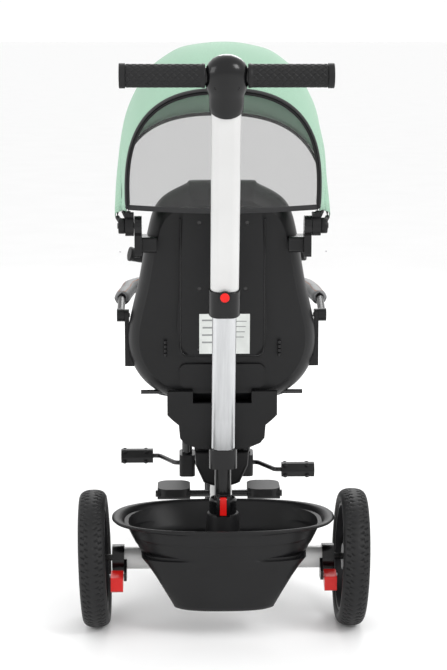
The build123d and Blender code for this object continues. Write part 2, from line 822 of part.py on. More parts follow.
for side, hand in ((-1, "left"), (1, "right")):
    with BuildPart() as footrest:
        middle_x = side * (footrest_inner_x + footrest_outer_x) / 2
        with BuildSketch(Plane.XY.offset(footrest_bar_z - 4)):
            with Locations((middle_x, footrest_y + 22)):
                RectangleRounded(footrest_outer_x - footrest_inner_x, 78, 22)
        extrude(amount=16)
        with BuildSketch(cross_plane(side * footrest_inner_x, footrest_y, footrest_bar_z)):
            Circle(footrest_bar_radius + 5)
        extrude(amount=side * (footrest_outer_x - footrest_inner_x))
        with BuildSketch(cross_plane(side * (footrest_inner_x - 5), footrest_y, footrest_bar_z)):
            Circle(footrest_bar_radius + running_fit)
        extrude(amount=side * (footrest_outer_x - footrest_inner_x + 20), mode=Mode.SUBTRACT)
    write(footrest, f"footrest_{hand}")


# Turntable and seat base, turning on a pin in the beam cover
turntable_radius = 72.0
base_low_z = 312.0
base_top_z = 388.0
base_rear_y = rear_axle_y + 62.0
base_front_y = rear_axle_y + 300.0
swivel_pin_radius = 10.0
with BuildPart() as turntable_disc:
    with BuildSketch(Plane.XY.offset(cover_top_z)):
        with Locations((0, seat_axis_y)):
            Circle(turntable_radius - 22)
    extrude(amount=base_low_z - cover_top_z - clear_gap)

with BuildPart() as swivel_pin:
    with BuildSketch(Plane.XY.offset(cover_top_z)):
        with Locations((0, seat_axis_y)):
            Circle(swivel_pin_radius)
    extrude(amount=62)

with BuildPart() as turntable:
    add(turntable_disc.part)
    add(swivel_pin.part)
write(turntable, "turntable")

wall_thickness = 13.0
wall_top_z = 421.0
with BuildPart() as seat_base:
    with BuildSketch(rear_plane(base_rear_y)):
        with BuildLine():
            Polyline(
                (-101, wall_top_z), (-101, 377), (-92, 368), (-80, 358), (-78, 334), (-70, 324), (-46, 314),
                (0, base_low_z), (46, 314), (70, 324), (78, 334), (80, 358), (92, 368), (101, 377),
                (101, wall_top_z), (54, wall_top_z), (54, 399), (-54, 399), (-54, wall_top_z), close=True,
            )
        make_face()
    extrude(amount=-wall_thickness)
    with BuildSketch(rear_plane(base_rear_y + wall_thickness)):
        with BuildLine():
            Polyline(
                (-90, base_top_z), (-80, 358), (-78, 334), (-70, 324), (-46, 314), (0, base_low_z),
                (46, 314), (70, 324), (78, 334), (80, 358), (90, base_top_z), close=True,
            )
        make_face()
    extrude(amount=-(base_front_y - base_rear_y - wall_thickness))
    with BuildSketch(Plane.XY.offset(base_low_z - 5)):
        with Locations((0, seat_axis_y)):
            Circle(swivel_pin_radius + running_fit)
    extrude(amount=60, mode=Mode.SUBTRACT)
write(seat_base, "seat_base")


# Seat pan, bolted on the base, with its cushion
pan_rear_y = rear_axle_y + 166.0
pan_front_y = rear_axle_y + 382.0
pan_low_z = base_top_z
pan_rim_z = 436.0
pan_half = 148.0
pan_wall = 4.0
pan_flare = 25.0
pan_taper = 26.0
pan_low_corner = 40.0
pan_rim_corner = 50.0
cushion_rise = 12.0
with BuildPart() as seat_pan:
    with BuildSketch(Plane.XY.offset(pan_low_z)):
        with Locations((0, (pan_rear_y + pan_front_y) / 2)):
            RectangleRounded(
                2 * (pan_half - pan_flare), pan_front_y - pan_rear_y - pan_taper, pan_low_corner
            )
    with BuildSketch(Plane.XY.offset(pan_rim_z)):
        with Locations((0, (pan_rear_y + pan_front_y) / 2)):
            RectangleRounded(2 * pan_half, pan_front_y - pan_rear_y, pan_rim_corner)
    loft()
    with BuildSketch(Plane.XY.offset(pan_low_z + pan_wall)):
        with Locations((0, (pan_rear_y + pan_front_y) / 2)):
            RectangleRounded(
                2 * (pan_half - pan_flare - pan_wall),
                pan_front_y - pan_rear_y - pan_taper - 2 * pan_wall,
                pan_low_corner - 3,
            )
    with BuildSketch(Plane.XY.offset(pan_rim_z + 0.1)):
        with Locations((0, (pan_rear_y + pan_front_y) / 2)):
            RectangleRounded(
                2 * (pan_half - pan_wall), pan_front_y - pan_rear_y - 2 * pan_wall, pan_rim_corner - 3
            )
    loft(mode=Mode.SUBTRACT)
write(seat_pan, "seat_pan")

with BuildPart() as seat_cushion:
    with BuildSketch(Plane.XY.offset(pan_low_z + pan_wall + clear_gap)):
        with Locations((0, (pan_rear_y + pan_front_y) / 2)):
            RectangleRounded(2 * pan_half - 84, pan_front_y - pan_rear_y - 60, 34)
    with BuildSketch(Plane.XY.offset(pan_rim_z + cushion_rise)):
        with Locations((0, (pan_rear_y + pan_front_y) / 2)):
            RectangleRounded(2 * pan_half - 30, pan_front_y - pan_rear_y - 30, 44)
    loft()
    fillet(seat_cushion.faces().sort_by(Axis.Z)[-1].edges(), 8.0)
write(seat_cushion, "seat_cushion")


# Seat back: a moulded shell open to the front, hung on a rod through the seat base
back_lean = 8.0
back_low_z = 395.0
back_rear_y = rear_axle_y + 82.0
back_up = Vector(0, -sin(radians(back_lean)), cos(radians(back_lean)))
back_forward = Vector(0, cos(radians(back_lean)), sin(radians(back_lean)))
back_foot = Vector(0, back_rear_y, back_low_z)
back_depth = 72.0
back_wall = 4.0
recline_rod_radius = 4.0
recline_along = 14.0
recline_ahead = 26.0
back_outline = (
    (0, 0), (78, 3), (122, 22), (152, 54), (168, 100), (163, 160), (150, 215), (139, 275), (128, 330),
    (104, 376), (62, 400), (0, 405),
)


def back_point(across, along, ahead):
    """A point on the seat back: across it, up along it, and ahead of its rear face."""
    return back_foot + Vector(across, 0, 0) + back_up * along + back_forward * ahead


def back_plane(ahead):
    """A plane parallel with the seat back's rear face, a given way ahead of it, facing the rear."""
    return Plane(origin=back_point(0, 0, ahead), x_dir=(1, 0, 0), z_dir=-back_forward)


recline_point = back_point(0, recline_along, recline_ahead)


def shell_body(levels):
    """A body through the seat back's outline, drawn in by each level's share at its distance ahead."""
    with BuildPart() as body:
        for ahead, share in levels:
            points = [(x * share, back_middle + (along - back_middle) * share) for x, along in back_outline]
            with BuildSketch(back_plane(ahead)):
                with BuildLine():
                    outline = Spline(*points, tangents=((1, 0), (-1, 0)))
                    mirror(outline, about=Plane.YZ)
                make_face()
        loft()
    return body.part


back_middle = 202.0
shell_outside = shell_body(((0.0, 0.90), (12.0, 0.975), (back_depth, 1.0)))
shell_inside = shell_body(((back_wall, 0.87), (14.0, 0.943), (back_depth + 0.2, 0.972)))

with BuildPart() as seat_back_shell:
    add(shell_outside)
    add(shell_inside, mode=Mode.SUBTRACT)
    with BuildSketch(cross_plane(-200, recline_point.Y, recline_point.Z)):
        Circle(recline_rod_radius + running_fit)
    extrude(amount=400, mode=Mode.SUBTRACT)
write(seat_back_shell, "seat_back_shell")

with BuildPart() as recline_rod:
    with BuildSketch(cross_plane(-150, recline_point.Y, recline_point.Z)):
        Circle(recline_rod_radius)
    extrude(amount=300)
write(recline_rod, "recline_rod")


# Raised panel and lower cover on the rear of the seat back, with their screws
panel_proud = 7.0
panel_half = 82.0
panel_low = 82.0
panel_high = 372.0
lower_panel_low = 32.0
lower_panel_high = 78.0
screw_radius = 3.5
back_screws = ((-42, 345), (44, 345), (-42, 222), (42, 222), (-42, 106), (42, 106))

with BuildPart() as back_panel:
    with BuildSketch(back_plane(-clear_gap)):
        with BuildLine():
            Line((-panel_half + 12, panel_high), (panel_half - 12, panel_high))
            Line((panel_half - 12, panel_high), (panel_half, panel_low + 66))
            Spline((panel_half, panel_low + 66), (panel_half - 14, panel_low + 22), (0, panel_low))
            Spline((0, panel_low), (14 - panel_half, panel_low + 22), (-panel_half, panel_low + 66))
            Line((-panel_half, panel_low + 66), (-panel_half + 12, panel_high))
        make_face()
    extrude(amount=panel_proud - clear_gap)
    with BuildSketch(back_plane(0)):
        with Locations(*back_screws):
            Circle(screw_radius)
    extrude(amount=panel_proud + 1, mode=Mode.SUBTRACT)

with BuildPart() as lower_back_panel:
    with BuildSketch(back_plane(-clear_gap)):
        with Locations((0, (lower_panel_low + lower_panel_high) / 2)):
            RectangleRounded(2 * panel_half - 8, lower_panel_high - lower_panel_low, 12)
    extrude(amount=panel_proud - 2)

with BuildPart() as back_covers:
    add(back_panel.part)
    add(lower_back_panel.part)
write(back_covers, "back_covers")

with BuildPart() as back_screw_set:
    with BuildSketch(back_plane(-clear_gap)):
        with Locations(*back_screws):
            Circle(screw_radius)
    extrude(amount=panel_proud - 2)
write(back_screw_set, "back_screws")


# Cushions and harness on the front of the seat back
with BuildPart() as back_cushion:
    for ahead, share in ((back_wall + 2.5, 0.80), (26.0, 0.90), (back_depth + 6, 0.84)):
        points = [(x * share, back_middle + 12 + (along - back_middle) * share) for x, along in back_outline]
        with BuildSketch(back_plane(ahead)):
            with BuildLine():
                outline = Spline(*points, tangents=((1, 0), (-1, 0)))
                mirror(outline, about=Plane.YZ)
            make_face()
    loft()
write(back_cushion, "back_cushion")


# Guard bar: a padded bow on two posts that stand at the sides of the seat back
guard_pivot_y = rear_axle_y + 112.0
guard_pivot_z = 556.0
guard_tube_radius = 7.0
guard_pad_radius = 14.0
guard_reach = 205.0
post_inner_x = 171.0
post_thickness = 8.0
post_plate_low_z = 462.0

with BuildPart() as guard_posts:
    for side in (-1, 1):
        with BuildSketch(cross_plane(side * post_inner_x, 0, 0)):
            with BuildLine():
                Polyline(
                    (guard_pivot_y - 12, post_plate_low_z),
                    (guard_pivot_y + 16, post_plate_low_z),
                    (guard_pivot_y + 10, guard_pivot_z),
                    (guard_pivot_y - 10, guard_pivot_z),
                    close=True,
                )
            make_face()
        extrude(amount=side * post_thickness)
        with BuildSketch(cross_plane(side * post_inner_x, guard_pivot_y, guard_pivot_z)):
            Circle(11)
        extrude(amount=side * post_thickness)
        with BuildSketch(cross_plane(side * 140, guard_pivot_y + 2, post_plate_low_z + 14)):
            RectangleRounded(26, 30, 4)
        extrude(amount=side * (post_inner_x - 138))
    add(shell_outside, mode=Mode.SUBTRACT)
    with BuildSketch(cross_plane(-220, guard_pivot_y, guard_pivot_z)):
        Circle(4)
    extrude(amount=440, mode=Mode.SUBTRACT)
    for part_solid in guard_posts.solids().filter_by(lambda piece: abs(piece.center().X) < 160):
        add(part_solid, mode=Mode.SUBTRACT)
write(guard_posts, "guard_posts")

guard_arm_x = post_inner_x + post_thickness + clear_gap
guard_points = (
    (-guard_arm_x - guard_tube_radius, guard_pivot_y, guard_pivot_z),
    (-guard_arm_x - guard_tube_radius, guard_pivot_y + 60, guard_pivot_z + 22),
    (-guard_arm_x + 10, guard_pivot_y + guard_reach, guard_pivot_z + 30),
    (guard_arm_x - 10, guard_pivot_y + guard_reach, guard_pivot_z + 30),
    (guard_arm_x + guard_tube_radius, guard_pivot_y + 60, guard_pivot_z + 22),
    (guard_arm_x + guard_tube_radius, guard_pivot_y, guard_pivot_z),
)
guard_radii = (25, 55, 55, 25)
guard_start_dir = Vector(*guard_points[1]) - Vector(*guard_points[0])
with BuildPart() as guard_bar:
    with BuildLine():
        FilletPolyline(*guard_points, radius=guard_radii)
    with BuildSketch(Plane(origin=guard_points[0], z_dir=guard_start_dir)):
        Circle(guard_tube_radius)
    sweep()
write(guard_bar, "guard_bar")

with BuildPart() as guard_ends:
    for side in (-1, 1):
        with BuildSketch(cross_plane(side * guard_arm_x, guard_pivot_y, guard_pivot_z)):
            Circle(12)
        extrude(amount=side * 2 * guard_tube_radius)
        pin_x = side * (guard_arm_x - post_thickness - 2)
        with BuildSketch(cross_plane(pin_x, guard_pivot_y, guard_pivot_z)):
            Circle(4 - running_fit)
        extrude(amount=side * (post_thickness + 3))
    add(guard_bar.part, mode=Mode.SUBTRACT)
write(guard_ends, "guard_ends")

guard_pad_dir = Vector(*guard_points[2]) - Vector(*guard_points[1])
with BuildPart() as guard_pad:
    with BuildLine():
        FilletPolyline(*guard_points[1:-1], radius=guard_radii[1:-1])
    with BuildSketch(Plane(origin=guard_points[1], z_dir=guard_pad_dir)):
        Circle(guard_pad_radius)
        Circle(guard_tube_radius + clear_gap, mode=Mode.SUBTRACT)
    sweep()
    add(guard_bar.part, mode=Mode.SUBTRACT)
write(guard_pad, "guard_pad")


# Canopy: three bows fan out from a knob at each side of the seat back
canopy_pivot_y = rear_axle_y + 5.0
canopy_pivot_z = 733.0
canopy_skin = 2.0
bow_thickness = 5.0
rear_bow_angle = 107.0
top_bow_angle = 73.0
front_bow_angle = 28.5
# Each bow's angle up from straight ahead, its reach from the knobs and its half width
rear_bow = (rear_bow_angle, 252.0, 186.0)
top_bow = (top_bow_angle, 332.0, 192.0)
front_bow = (front_bow_angle, 388.0, 203.0)
front_start = (top_bow_angle - 1.0, 340.0, 202.0)
low_radius = 28.0
bow_low_radius = 19.0
foot_share = 0.9


def bow_plane(angle):
    """The plane through the canopy's knobs at the given angle: own x along X, own y away from the knobs."""
    reach_dir = Vector(0, cos(radians(angle)), sin(radians(angle)))
    return Plane(
        origin=(0, canopy_pivot_y, canopy_pivot_z), x_dir=(1, 0, 0), z_dir=Vector(1, 0, 0).cross(reach_dir)
    )


def arch_points(reach, half, share):
    """An arch from the left foot over its crown to the right foot, as a share of its full size."""
    rising = (
        (half * foot_share, low_radius),
        (half, reach * 0.34),
        (half * 0.94, reach * 0.62),
        (half * 0.61, reach * 0.87),
    )
    left = [(-across, away) for across, away in rising]
    full = [*left, (0, reach), *reversed(rising)]
    return [(across * share, away * share) for across, away in full]


def sector_body(stations, share):
    """The closed body under a share of the arches at the given stations."""
    with BuildPart() as body:
        for angle, reach, half in stations:
            points = arch_points(reach, half, share)
            with BuildSketch(bow_plane(angle)):
                with BuildLine():
                    Spline(*points)
                    Line(points[0], points[-1])
                make_face()
        loft()
    return body.part


def between(first, last, share):
    """The bow that would lie between two others."""
    return tuple(a + (b - a) * share for a, b in zip(first, last))


rear_stations = tuple(between(top_bow, rear_bow, share) for share in (0, 0.5, 1))
front_stations = tuple(between(front_bow, front_start, share) for share in (0, 0.33, 0.67, 1))
skin_share = 1 - canopy_skin / top_bow[2]
bow_share = skin_share - 0.016
bow_inner_share = bow_share - bow_thickness / top_bow[2]
window_share = bow_inner_share - 0.008

with BuildPart() as canopy_rear_panel:
    add(sector_body(rear_stations, 1.0))
    add(sector_body(rear_stations, skin_share), mode=Mode.SUBTRACT)
write(canopy_rear_panel, "canopy_rear_panel")

with BuildPart() as canopy_front_panel:
    add(sector_body(front_stations, 1.0))
    add(sector_body(front_stations, skin_share), mode=Mode.SUBTRACT)
write(canopy_front_panel, "canopy_front_panel")


def hoop(station, outer_share, inner_share, low):
    """A flat hoop in a bow's plane, between two shares of its arch and cut off above its feet."""
    angle, reach, half = station
    with BuildPart() as flat_hoop:
        for share, mode in ((outer_share, Mode.ADD), (inner_share, Mode.SUBTRACT)):
            if share:
                points = arch_points(reach, half, share)
                with BuildSketch(bow_plane(angle)):
                    with BuildLine():
                        Spline(*points)
                        Polyline(points[-1], (points[-1][0], 0), (points[0][0], 0), points[0])
                    make_face()
                extrude(amount=bow_thickness / 2, both=True, mode=mode)
        with BuildSketch(bow_plane(angle)):
            Rectangle(3 * half, 2 * low)
        extrude(amount=bow_thickness, both=True, mode=Mode.SUBTRACT)
    return flat_hoop


def make_bow(station):
    """A flat moulded bow from one knob over to the other, just inside the canopy's skin."""
    return hoop(station, bow_share, bow_inner_share, bow_low_radius)


rear_bow_station = between(rear_bow, top_bow, 0.07)
canopy_rear_bow = make_bow(rear_bow_station)
canopy_top_bow = make_bow(between(top_bow, rear_bow, 0.09))
canopy_front_bow = make_bow(between(front_bow, front_start, 0.05))

with BuildPart() as canopy_fixed_bows:
    add(canopy_rear_bow.part)
    add(canopy_top_bow.part)
write(canopy_fixed_bows, "canopy_fixed_bows")

window_low = 36.0
canopy_window = hoop(rear_bow_station, window_share, 0, window_low)
write(canopy_window, "canopy_window")

# Knobs and brackets: the brackets clip to the seat back and carry the knobs
knob_inner_x = 158.0
knob_length = 15.0
knob_radius = 18.0
pivot_radius = 5.0
with BuildPart() as canopy_brackets:
    for side in (-1, 1):
        with BuildSketch(cross_plane(side * (knob_inner_x - 14), canopy_pivot_y, canopy_pivot_z)):
            Circle(knob_radius)
        extrude(amount=side * 13)
        with BuildSketch(cross_plane(side * (knob_inner_x - 14), canopy_pivot_y + 8, canopy_pivot_z - 34)):
            RectangleRounded(30, 44, 6)
        extrude(amount=side * 13)
        with BuildSketch(cross_plane(side * 118, canopy_pivot_y + 42, canopy_pivot_z - 36)):
            RectangleRounded(60, 28, 5)
        extrude(amount=side * (knob_inner_x - 118 - 4))
        with BuildSketch(cross_plane(side * (knob_inner_x - 2), canopy_pivot_y, canopy_pivot_z)):
            Circle(pivot_radius)
        extrude(amount=side * (knob_length + 16))
    add(shell_outside, mode=Mode.SUBTRACT)
    for loose in canopy_brackets.solids().filter_by(lambda piece: abs(piece.center().X) < 135):
        add(loose, mode=Mode.SUBTRACT)
write(canopy_brackets, "canopy_brackets")

with BuildPart() as canopy_rear_hubs:
    for side in (-1, 1):
        with BuildSketch(cross_plane(side * knob_inner_x, canopy_pivot_y, canopy_pivot_z)):
            Circle(knob_radius)
            Circle(pivot_radius, mode=Mode.SUBTRACT)
        extrude(amount=side * knob_length)
        for angle in (rear_bow_station[0], between(top_bow, rear_bow, 0.09)[0]):
            hub_plane = bow_plane(angle)
            with BuildSketch(Plane(origin=hub_plane.origin, x_dir=(1, 0, 0), z_dir=hub_plane.y_dir)):
                with Locations((side * (knob_inner_x + knob_length / 2), 0)):
                    Rectangle(knob_length, 9)
            extrude(amount=bow_low_radius + 5)
    with BuildSketch(cross_plane(-250, canopy_pivot_y, canopy_pivot_z)):
        Circle(pivot_radius)
    extrude(amount=500, mode=Mode.SUBTRACT)
    add(canopy_rear_bow.part, mode=Mode.SUBTRACT)
    add(canopy_top_bow.part, mode=Mode.SUBTRACT)
write(canopy_rear_hubs, "canopy_rear_hubs")

front_hub_x = knob_inner_x + knob_length + clear_gap
front_hub_length = 12.0
with BuildPart() as canopy_front_hubs:
    for side in (-1, 1):
        with BuildSketch(cross_plane(side * front_hub_x, canopy_pivot_y, canopy_pivot_z)):
            Circle(knob_radius - 4)
        extrude(amount=side * front_hub_length)
        hub_plane = bow_plane(between(front_bow, front_start, 0.05)[0])
        with BuildSketch(Plane(origin=hub_plane.origin, x_dir=(1, 0, 0), z_dir=hub_plane.y_dir)):
            with Locations((side * (front_hub_x + front_hub_length / 2), 0)):
                Rectangle(front_hub_length, 9)
        extrude(amount=bow_low_radius + 5)
        with BuildSketch(cross_plane(side * (front_hub_x - 1), canopy_pivot_y, canopy_pivot_z)):
            Circle(pivot_radius + running_fit)
        extrude(amount=side * (front_hub_length + 30), mode=Mode.SUBTRACT)
    add(canopy_front_bow.part, mode=Mode.SUBTRACT)

with BuildPart() as canopy_moving_bow:
    add(canopy_front_bow.part)
    add(canopy_front_hubs.part)
write(canopy_moving_bow, "canopy_moving_bow")


# Harness: two shoulder straps over the back cushion, a waist buckle and its strap
strap_width = 24.0
strap_thickness = 3.0
strap_x = 44.0
strap_ahead = back_depth + 7.0
with BuildPart() as harness_straps:
    for side in (-1, 1):
        with BuildSketch(back_plane(strap_ahead)):
            with Locations((side * strap_x, 200)):
                Rectangle(strap_width, 190)
        extrude(amount=-strap_thickness)

with BuildPart() as harness_buckle:
    with BuildSketch(back_plane(strap_ahead)):
        with Locations((0, 104)):
            RectangleRounded(2 * strap_x - strap_width - 1, 40, 10)
    extrude(amount=-14)

with BuildPart() as harness:
    add(harness_straps.part)
    add(harness_buckle.part)
write(harness, "harness")
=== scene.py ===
"""Looks for a children's push tricycle, built round its fixed frame."""

import json
import math

import bpy
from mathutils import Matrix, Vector


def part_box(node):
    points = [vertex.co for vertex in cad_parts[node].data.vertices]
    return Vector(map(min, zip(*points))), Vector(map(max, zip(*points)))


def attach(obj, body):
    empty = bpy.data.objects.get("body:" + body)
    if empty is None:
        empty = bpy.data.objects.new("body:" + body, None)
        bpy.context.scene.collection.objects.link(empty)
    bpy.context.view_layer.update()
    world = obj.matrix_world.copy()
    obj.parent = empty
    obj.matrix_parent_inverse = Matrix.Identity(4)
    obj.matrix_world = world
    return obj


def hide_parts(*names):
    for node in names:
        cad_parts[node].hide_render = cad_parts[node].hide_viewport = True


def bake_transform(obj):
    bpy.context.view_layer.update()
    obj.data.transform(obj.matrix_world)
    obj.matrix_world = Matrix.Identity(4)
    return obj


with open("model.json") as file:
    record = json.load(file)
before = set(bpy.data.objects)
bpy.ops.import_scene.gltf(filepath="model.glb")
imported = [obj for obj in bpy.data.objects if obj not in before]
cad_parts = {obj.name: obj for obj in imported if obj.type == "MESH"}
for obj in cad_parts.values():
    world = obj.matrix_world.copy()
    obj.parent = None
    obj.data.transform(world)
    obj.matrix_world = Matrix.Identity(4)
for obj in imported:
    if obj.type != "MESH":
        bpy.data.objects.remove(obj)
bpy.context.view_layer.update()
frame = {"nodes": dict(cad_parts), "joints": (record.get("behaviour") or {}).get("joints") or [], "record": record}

bl_info = {
    "name": "Push Tricycle Dressing",
    "version": (1, 0, 0),
    "blender": (4, 5, 0),
    "location": "View3D > Sidebar > Tricycle",
    "description": "Adds tyres, fabric, padding, grips and finishes to a push tricycle's frame",
    "category": "Object",
}

JOINTS = {joint["name"]: joint for joint in frame["joints"]}
SLOTS = {part["node"]: part["material_slot"] for part in frame["record"]["subparts"]}
PIVOT = Vector(JOINTS["canopy_fold"]["pos_m"])
MM = 0.001

# The canopy's bows: angle up from straight ahead, reach from the knobs and half width
REAR_BOW = (107.0, 0.252, 0.181)
TOP_BOW = (73.0, 0.334, 0.191)
FRONT_BOW = (28.5, 0.388, 0.203)
# How far the arch's feet stay from the knobs, and how boxy its sides and its top are
ARCH_FOOT = 0.028
ARCH_SIDE_POWER = 0.80
ARCH_TOP_POWER = 0.72
# How far the cloth bulges between the rear and top bows, and between the top and front bows
REAR_BELLY = 0.005
FRONT_BELLY = 0.012
# The length of the arch from foot to foot, in reaches
ARCH_RUN = 2.3
# The bow tubes and the window run just inside the cloth, and the binding just outside it
TUBE_SHARE = 0.982
TUBE_RADIUS = 0.0034
FIXED_FOOT_X = 0.166
MOVING_HUB_X = 0.1793
BINDING_SHARE = 1.0035
WINDOW_SHARE = 0.985

# The tread, measured out from the tyre's middle: a rib, its groove, the groove between the rows, the edge
RIB_HALF = 3.6 * MM
RIB_GROOVE = 5.0 * MM
ROW_GROOVE = (11.2 * MM, 12.6 * MM)
ROW_SPLIT = 12 * MM
TREAD_HALF = 19 * MM
# How deep the tread is cut, the share of each block that the cut takes, and its slant in turns per metre
TREAD_CUT = 2.0 * MM
CUT_SHARE = 0.24
TREAD_SLANT = 40
TYRE_WIDTH = 0.049
FLOOR_GAP = 0.0002

# The grips: the rolled ring at the open end, the groove beside it and the roll at the other end
RING = 0.011
RING_GROOVE = 0.012
ROLL = 0.007
ROLL_GAP = 0.009

# The seat back's lean, the way up it and the way out of its rear
BACK_LEAN = math.radians(8)
BACK_UP = Vector((0, -math.sin(BACK_LEAN), math.cos(BACK_LEAN)))
BACK_REAR = Vector((0, -math.cos(BACK_LEAN), -math.sin(BACK_LEAN)))
# The lip on the seat back: half its width, where it starts and where it bends in, and its radius
LIP_HALF = 0.076
LIP_START = 0.020
LIP_BEND = 0.262
LIP_RADIUS = 0.0016

SMOOTH_ANGLE = math.radians(40)


# Nodes and materials

def new_material(name):
    """A material with its node tree, its Principled shader and its Object coordinates."""
    material = bpy.data.materials.new(name)
    material.use_nodes = True
    tree = material.node_tree
    coords = tree.nodes.new("ShaderNodeTexCoord")
    return material, tree, tree.nodes["Principled BSDF"], coords.outputs["Object"]


def noise(tree, vector, scale, detail=3.0, roughness=0.55):
    """A noise texture on the given coordinates."""
    node = tree.nodes.new("ShaderNodeTexNoise")
    node.inputs["Scale"].default_value = scale
    node.inputs["Detail"].default_value = detail
    node.inputs["Roughness"].default_value = roughness
    tree.links.new(vector, node.inputs["Vector"])
    return node.outputs["Fac"]


def ramp(tree, value, stops):
    """A colour ramp: stops are (place, colour)."""
    node = tree.nodes.new("ShaderNodeValToRGB")
    elements = node.color_ramp.elements
    while len(elements) < len(stops):
        elements.new(0.5)
    for element, (place, colour) in zip(elements, stops):
        element.position = place
        element.color = (*colour, 1.0)
    tree.links.new(value, node.inputs["Fac"])
    return node.outputs["Color"]


def math_node(tree, operation, first, second):
    """A maths node on two sockets or numbers."""
    node = tree.nodes.new("ShaderNodeMath")
    node.operation = operation
    for socket, value in zip(node.inputs, (first, second)):
        if isinstance(value, (int, float)):
            socket.default_value = value
        else:
            tree.links.new(value, socket)
    return node.outputs[0]


def map_range(tree, value, low, high):
    """A value from 0 to 1 spread between two numbers."""
    node = tree.nodes.new("ShaderNodeMapRange")
    node.inputs["To Min"].default_value = low
    node.inputs["To Max"].default_value = high
    tree.links.new(value, node.inputs["Value"])
    return node.outputs["Result"]


def bump(tree, shader, height, strength, distance):
    """A bump from a height, into the shader's normal."""
    node = tree.nodes.new("ShaderNodeBump")
    node.inputs["Strength"].default_value = strength
    node.inputs["Distance"].default_value = distance
    tree.links.new(height, node.inputs["Height"])
    tree.links.new(node.outputs["Normal"], shader.inputs["Normal"])


def shade(colour, factor):
    """A colour made lighter or darker."""
    return tuple(min(1.0, channel * factor) for channel in colour)


def moulded(name, colour, rough, grain, depth=0.00012, coat=0.0, gleam=0.28):
    """Moulded plastic or rubber: fine grain, slow mottling and a roughness that wanders."""
    material, tree, shader, place = new_material(name)
    shader.inputs["Specular IOR Level"].default_value = gleam
    slow = noise(tree, place, 9.0, 4.0)
    fine = noise(tree, place, grain, 2.0)
    tree.links.new(
        ramp(tree, slow, ((0.35, shade(colour, 0.82)), (0.65, shade(colour, 1.2)))),
        shader.inputs["Base Color"],
    )
    tree.links.new(map_range(tree, slow, rough - 0.07, rough + 0.07), shader.inputs["Roughness"])
    shader.inputs["Coat Weight"].default_value = coat
    shader.inputs["Coat Roughness"].default_value = 0.12
    bump(tree, shader, fine, 0.35, depth)
    return material


def painted(name, colour, rough):
    """Sprayed paint on steel, with a faint orange peel."""
    material, tree, shader, place = new_material(name)
    slow = noise(tree, place, 6.0, 3.0)
    tree.links.new(
        ramp(tree, slow, ((0.3, shade(colour, 0.95)), (0.7, shade(colour, 1.03)))),
        shader.inputs["Base Color"],
    )
    tree.links.new(map_range(tree, slow, rough - 0.04, rough + 0.05), shader.inputs["Roughness"])
    shader.inputs["Coat Weight"].default_value = 0.35
    shader.inputs["Coat Roughness"].default_value = 0.15
    shader.inputs["Metallic"].default_value = 0.15
    bump(tree, shader, noise(tree, place, 420.0, 2.0), 0.15, 0.0001)
    return material


def brushed(name, colour, rough, stretch):
    """Brushed metal, its scratches drawn out along the given stretch."""
    material, tree, shader, place = new_material(name)
    mapping = tree.nodes.new("ShaderNodeMapping")
    mapping.inputs["Scale"].default_value = stretch
    tree.links.new(place, mapping.inputs["Vector"])
    lines = noise(tree, mapping.outputs["Vector"], 40.0, 6.0, 0.7)
    tree.links.new(
        ramp(tree, lines, ((0.3, shade(colour, 0.8)), (0.7, shade(colour, 1.15)))),
        shader.inputs["Base Color"],
    )
    tree.links.new(map_range(tree, lines, rough - 0.1, rough + 0.12), shader.inputs["Roughness"])
    shader.inputs["Metallic"].default_value = 1.0
    bump(tree, shader, lines, 0.2, 0.00008)
    return material


def weave_height(tree, place, pitch, name_x="X", name_y="Z"):
    """Over-and-under threads: two bands of waves that take turns."""
    waves = []
    for direction in (name_x, name_y):
        wave = tree.nodes.new("ShaderNodeTexWave")
        wave.bands_direction = direction
        wave.inputs["Scale"].default_value = 0.314 / pitch
        wave.inputs["Distortion"].default_value = 0.6
        wave.inputs["Detail"].default_value = 1.0
        wave.inputs["Detail Scale"].default_value = 2.0
        tree.links.new(place, wave.inputs["Vector"])
        waves.append(wave.outputs["Fac"])
    return math_node(tree, "MULTIPLY", waves[0], waves[1])


def woven(name, colour, light, pitch, uv=False, speckle=0.5):
    """Woven cloth: threads, melange flecks and a soft sheen."""
    material, tree, shader, place = new_material(name)
    if uv:
        source = tree.nodes.new("ShaderNodeTexCoord")
        place = source.outputs["UV"]
    threads = weave_height(tree, place, pitch, "X", "Y" if uv else "Z")
    flecks = noise(tree, place, 0.55 / pitch, 2.0, 0.7)
    mixed = math_node(
        tree,
        "ADD",
        math_node(tree, "MULTIPLY", threads, 1 - speckle),
        math_node(tree, "MULTIPLY", flecks, speckle),
    )
    tree.links.new(ramp(tree, mixed, ((0.22, colour), (0.62, light))), shader.inputs["Base Color"])
    tree.links.new(map_range(tree, flecks, 0.78, 0.95), shader.inputs["Roughness"])
    shader.inputs["Sheen Weight"].default_value = 0.08
    shader.inputs["Sheen Roughness"].default_value = 0.5
    bump(tree, shader, threads, 0.5, 0.00035)
    return material


def open_mesh(name, colour, pitch):
    """Open mesh cloth: dark threads with holes that let the light through."""
    material, tree, shader, _ = new_material(name)
    source = tree.nodes.new("ShaderNodeTexCoord")
    threads = []
    for direction in ("X", "Y"):
        wave = tree.nodes.new("ShaderNodeTexWave")
        wave.bands_direction = direction
        wave.inputs["Scale"].default_value = 0.314 / pitch
        tree.links.new(source.outputs["UV"], wave.inputs["Vector"])
        threads.append(wave.outputs["Fac"])
    lattice = math_node(tree, "MAXIMUM", threads[0], threads[1])
    tree.links.new(
        ramp(tree, lattice, ((0.3, shade(colour, 0.7)), (0.9, colour))), shader.inputs["Base Color"]
    )
    tree.links.new(map_range(tree, lattice, 0.04, 0.62), shader.inputs["Alpha"])
    shader.inputs["Roughness"].default_value = 0.8
    bump(tree, shader, lattice, 0.4, 0.0003)
    return material


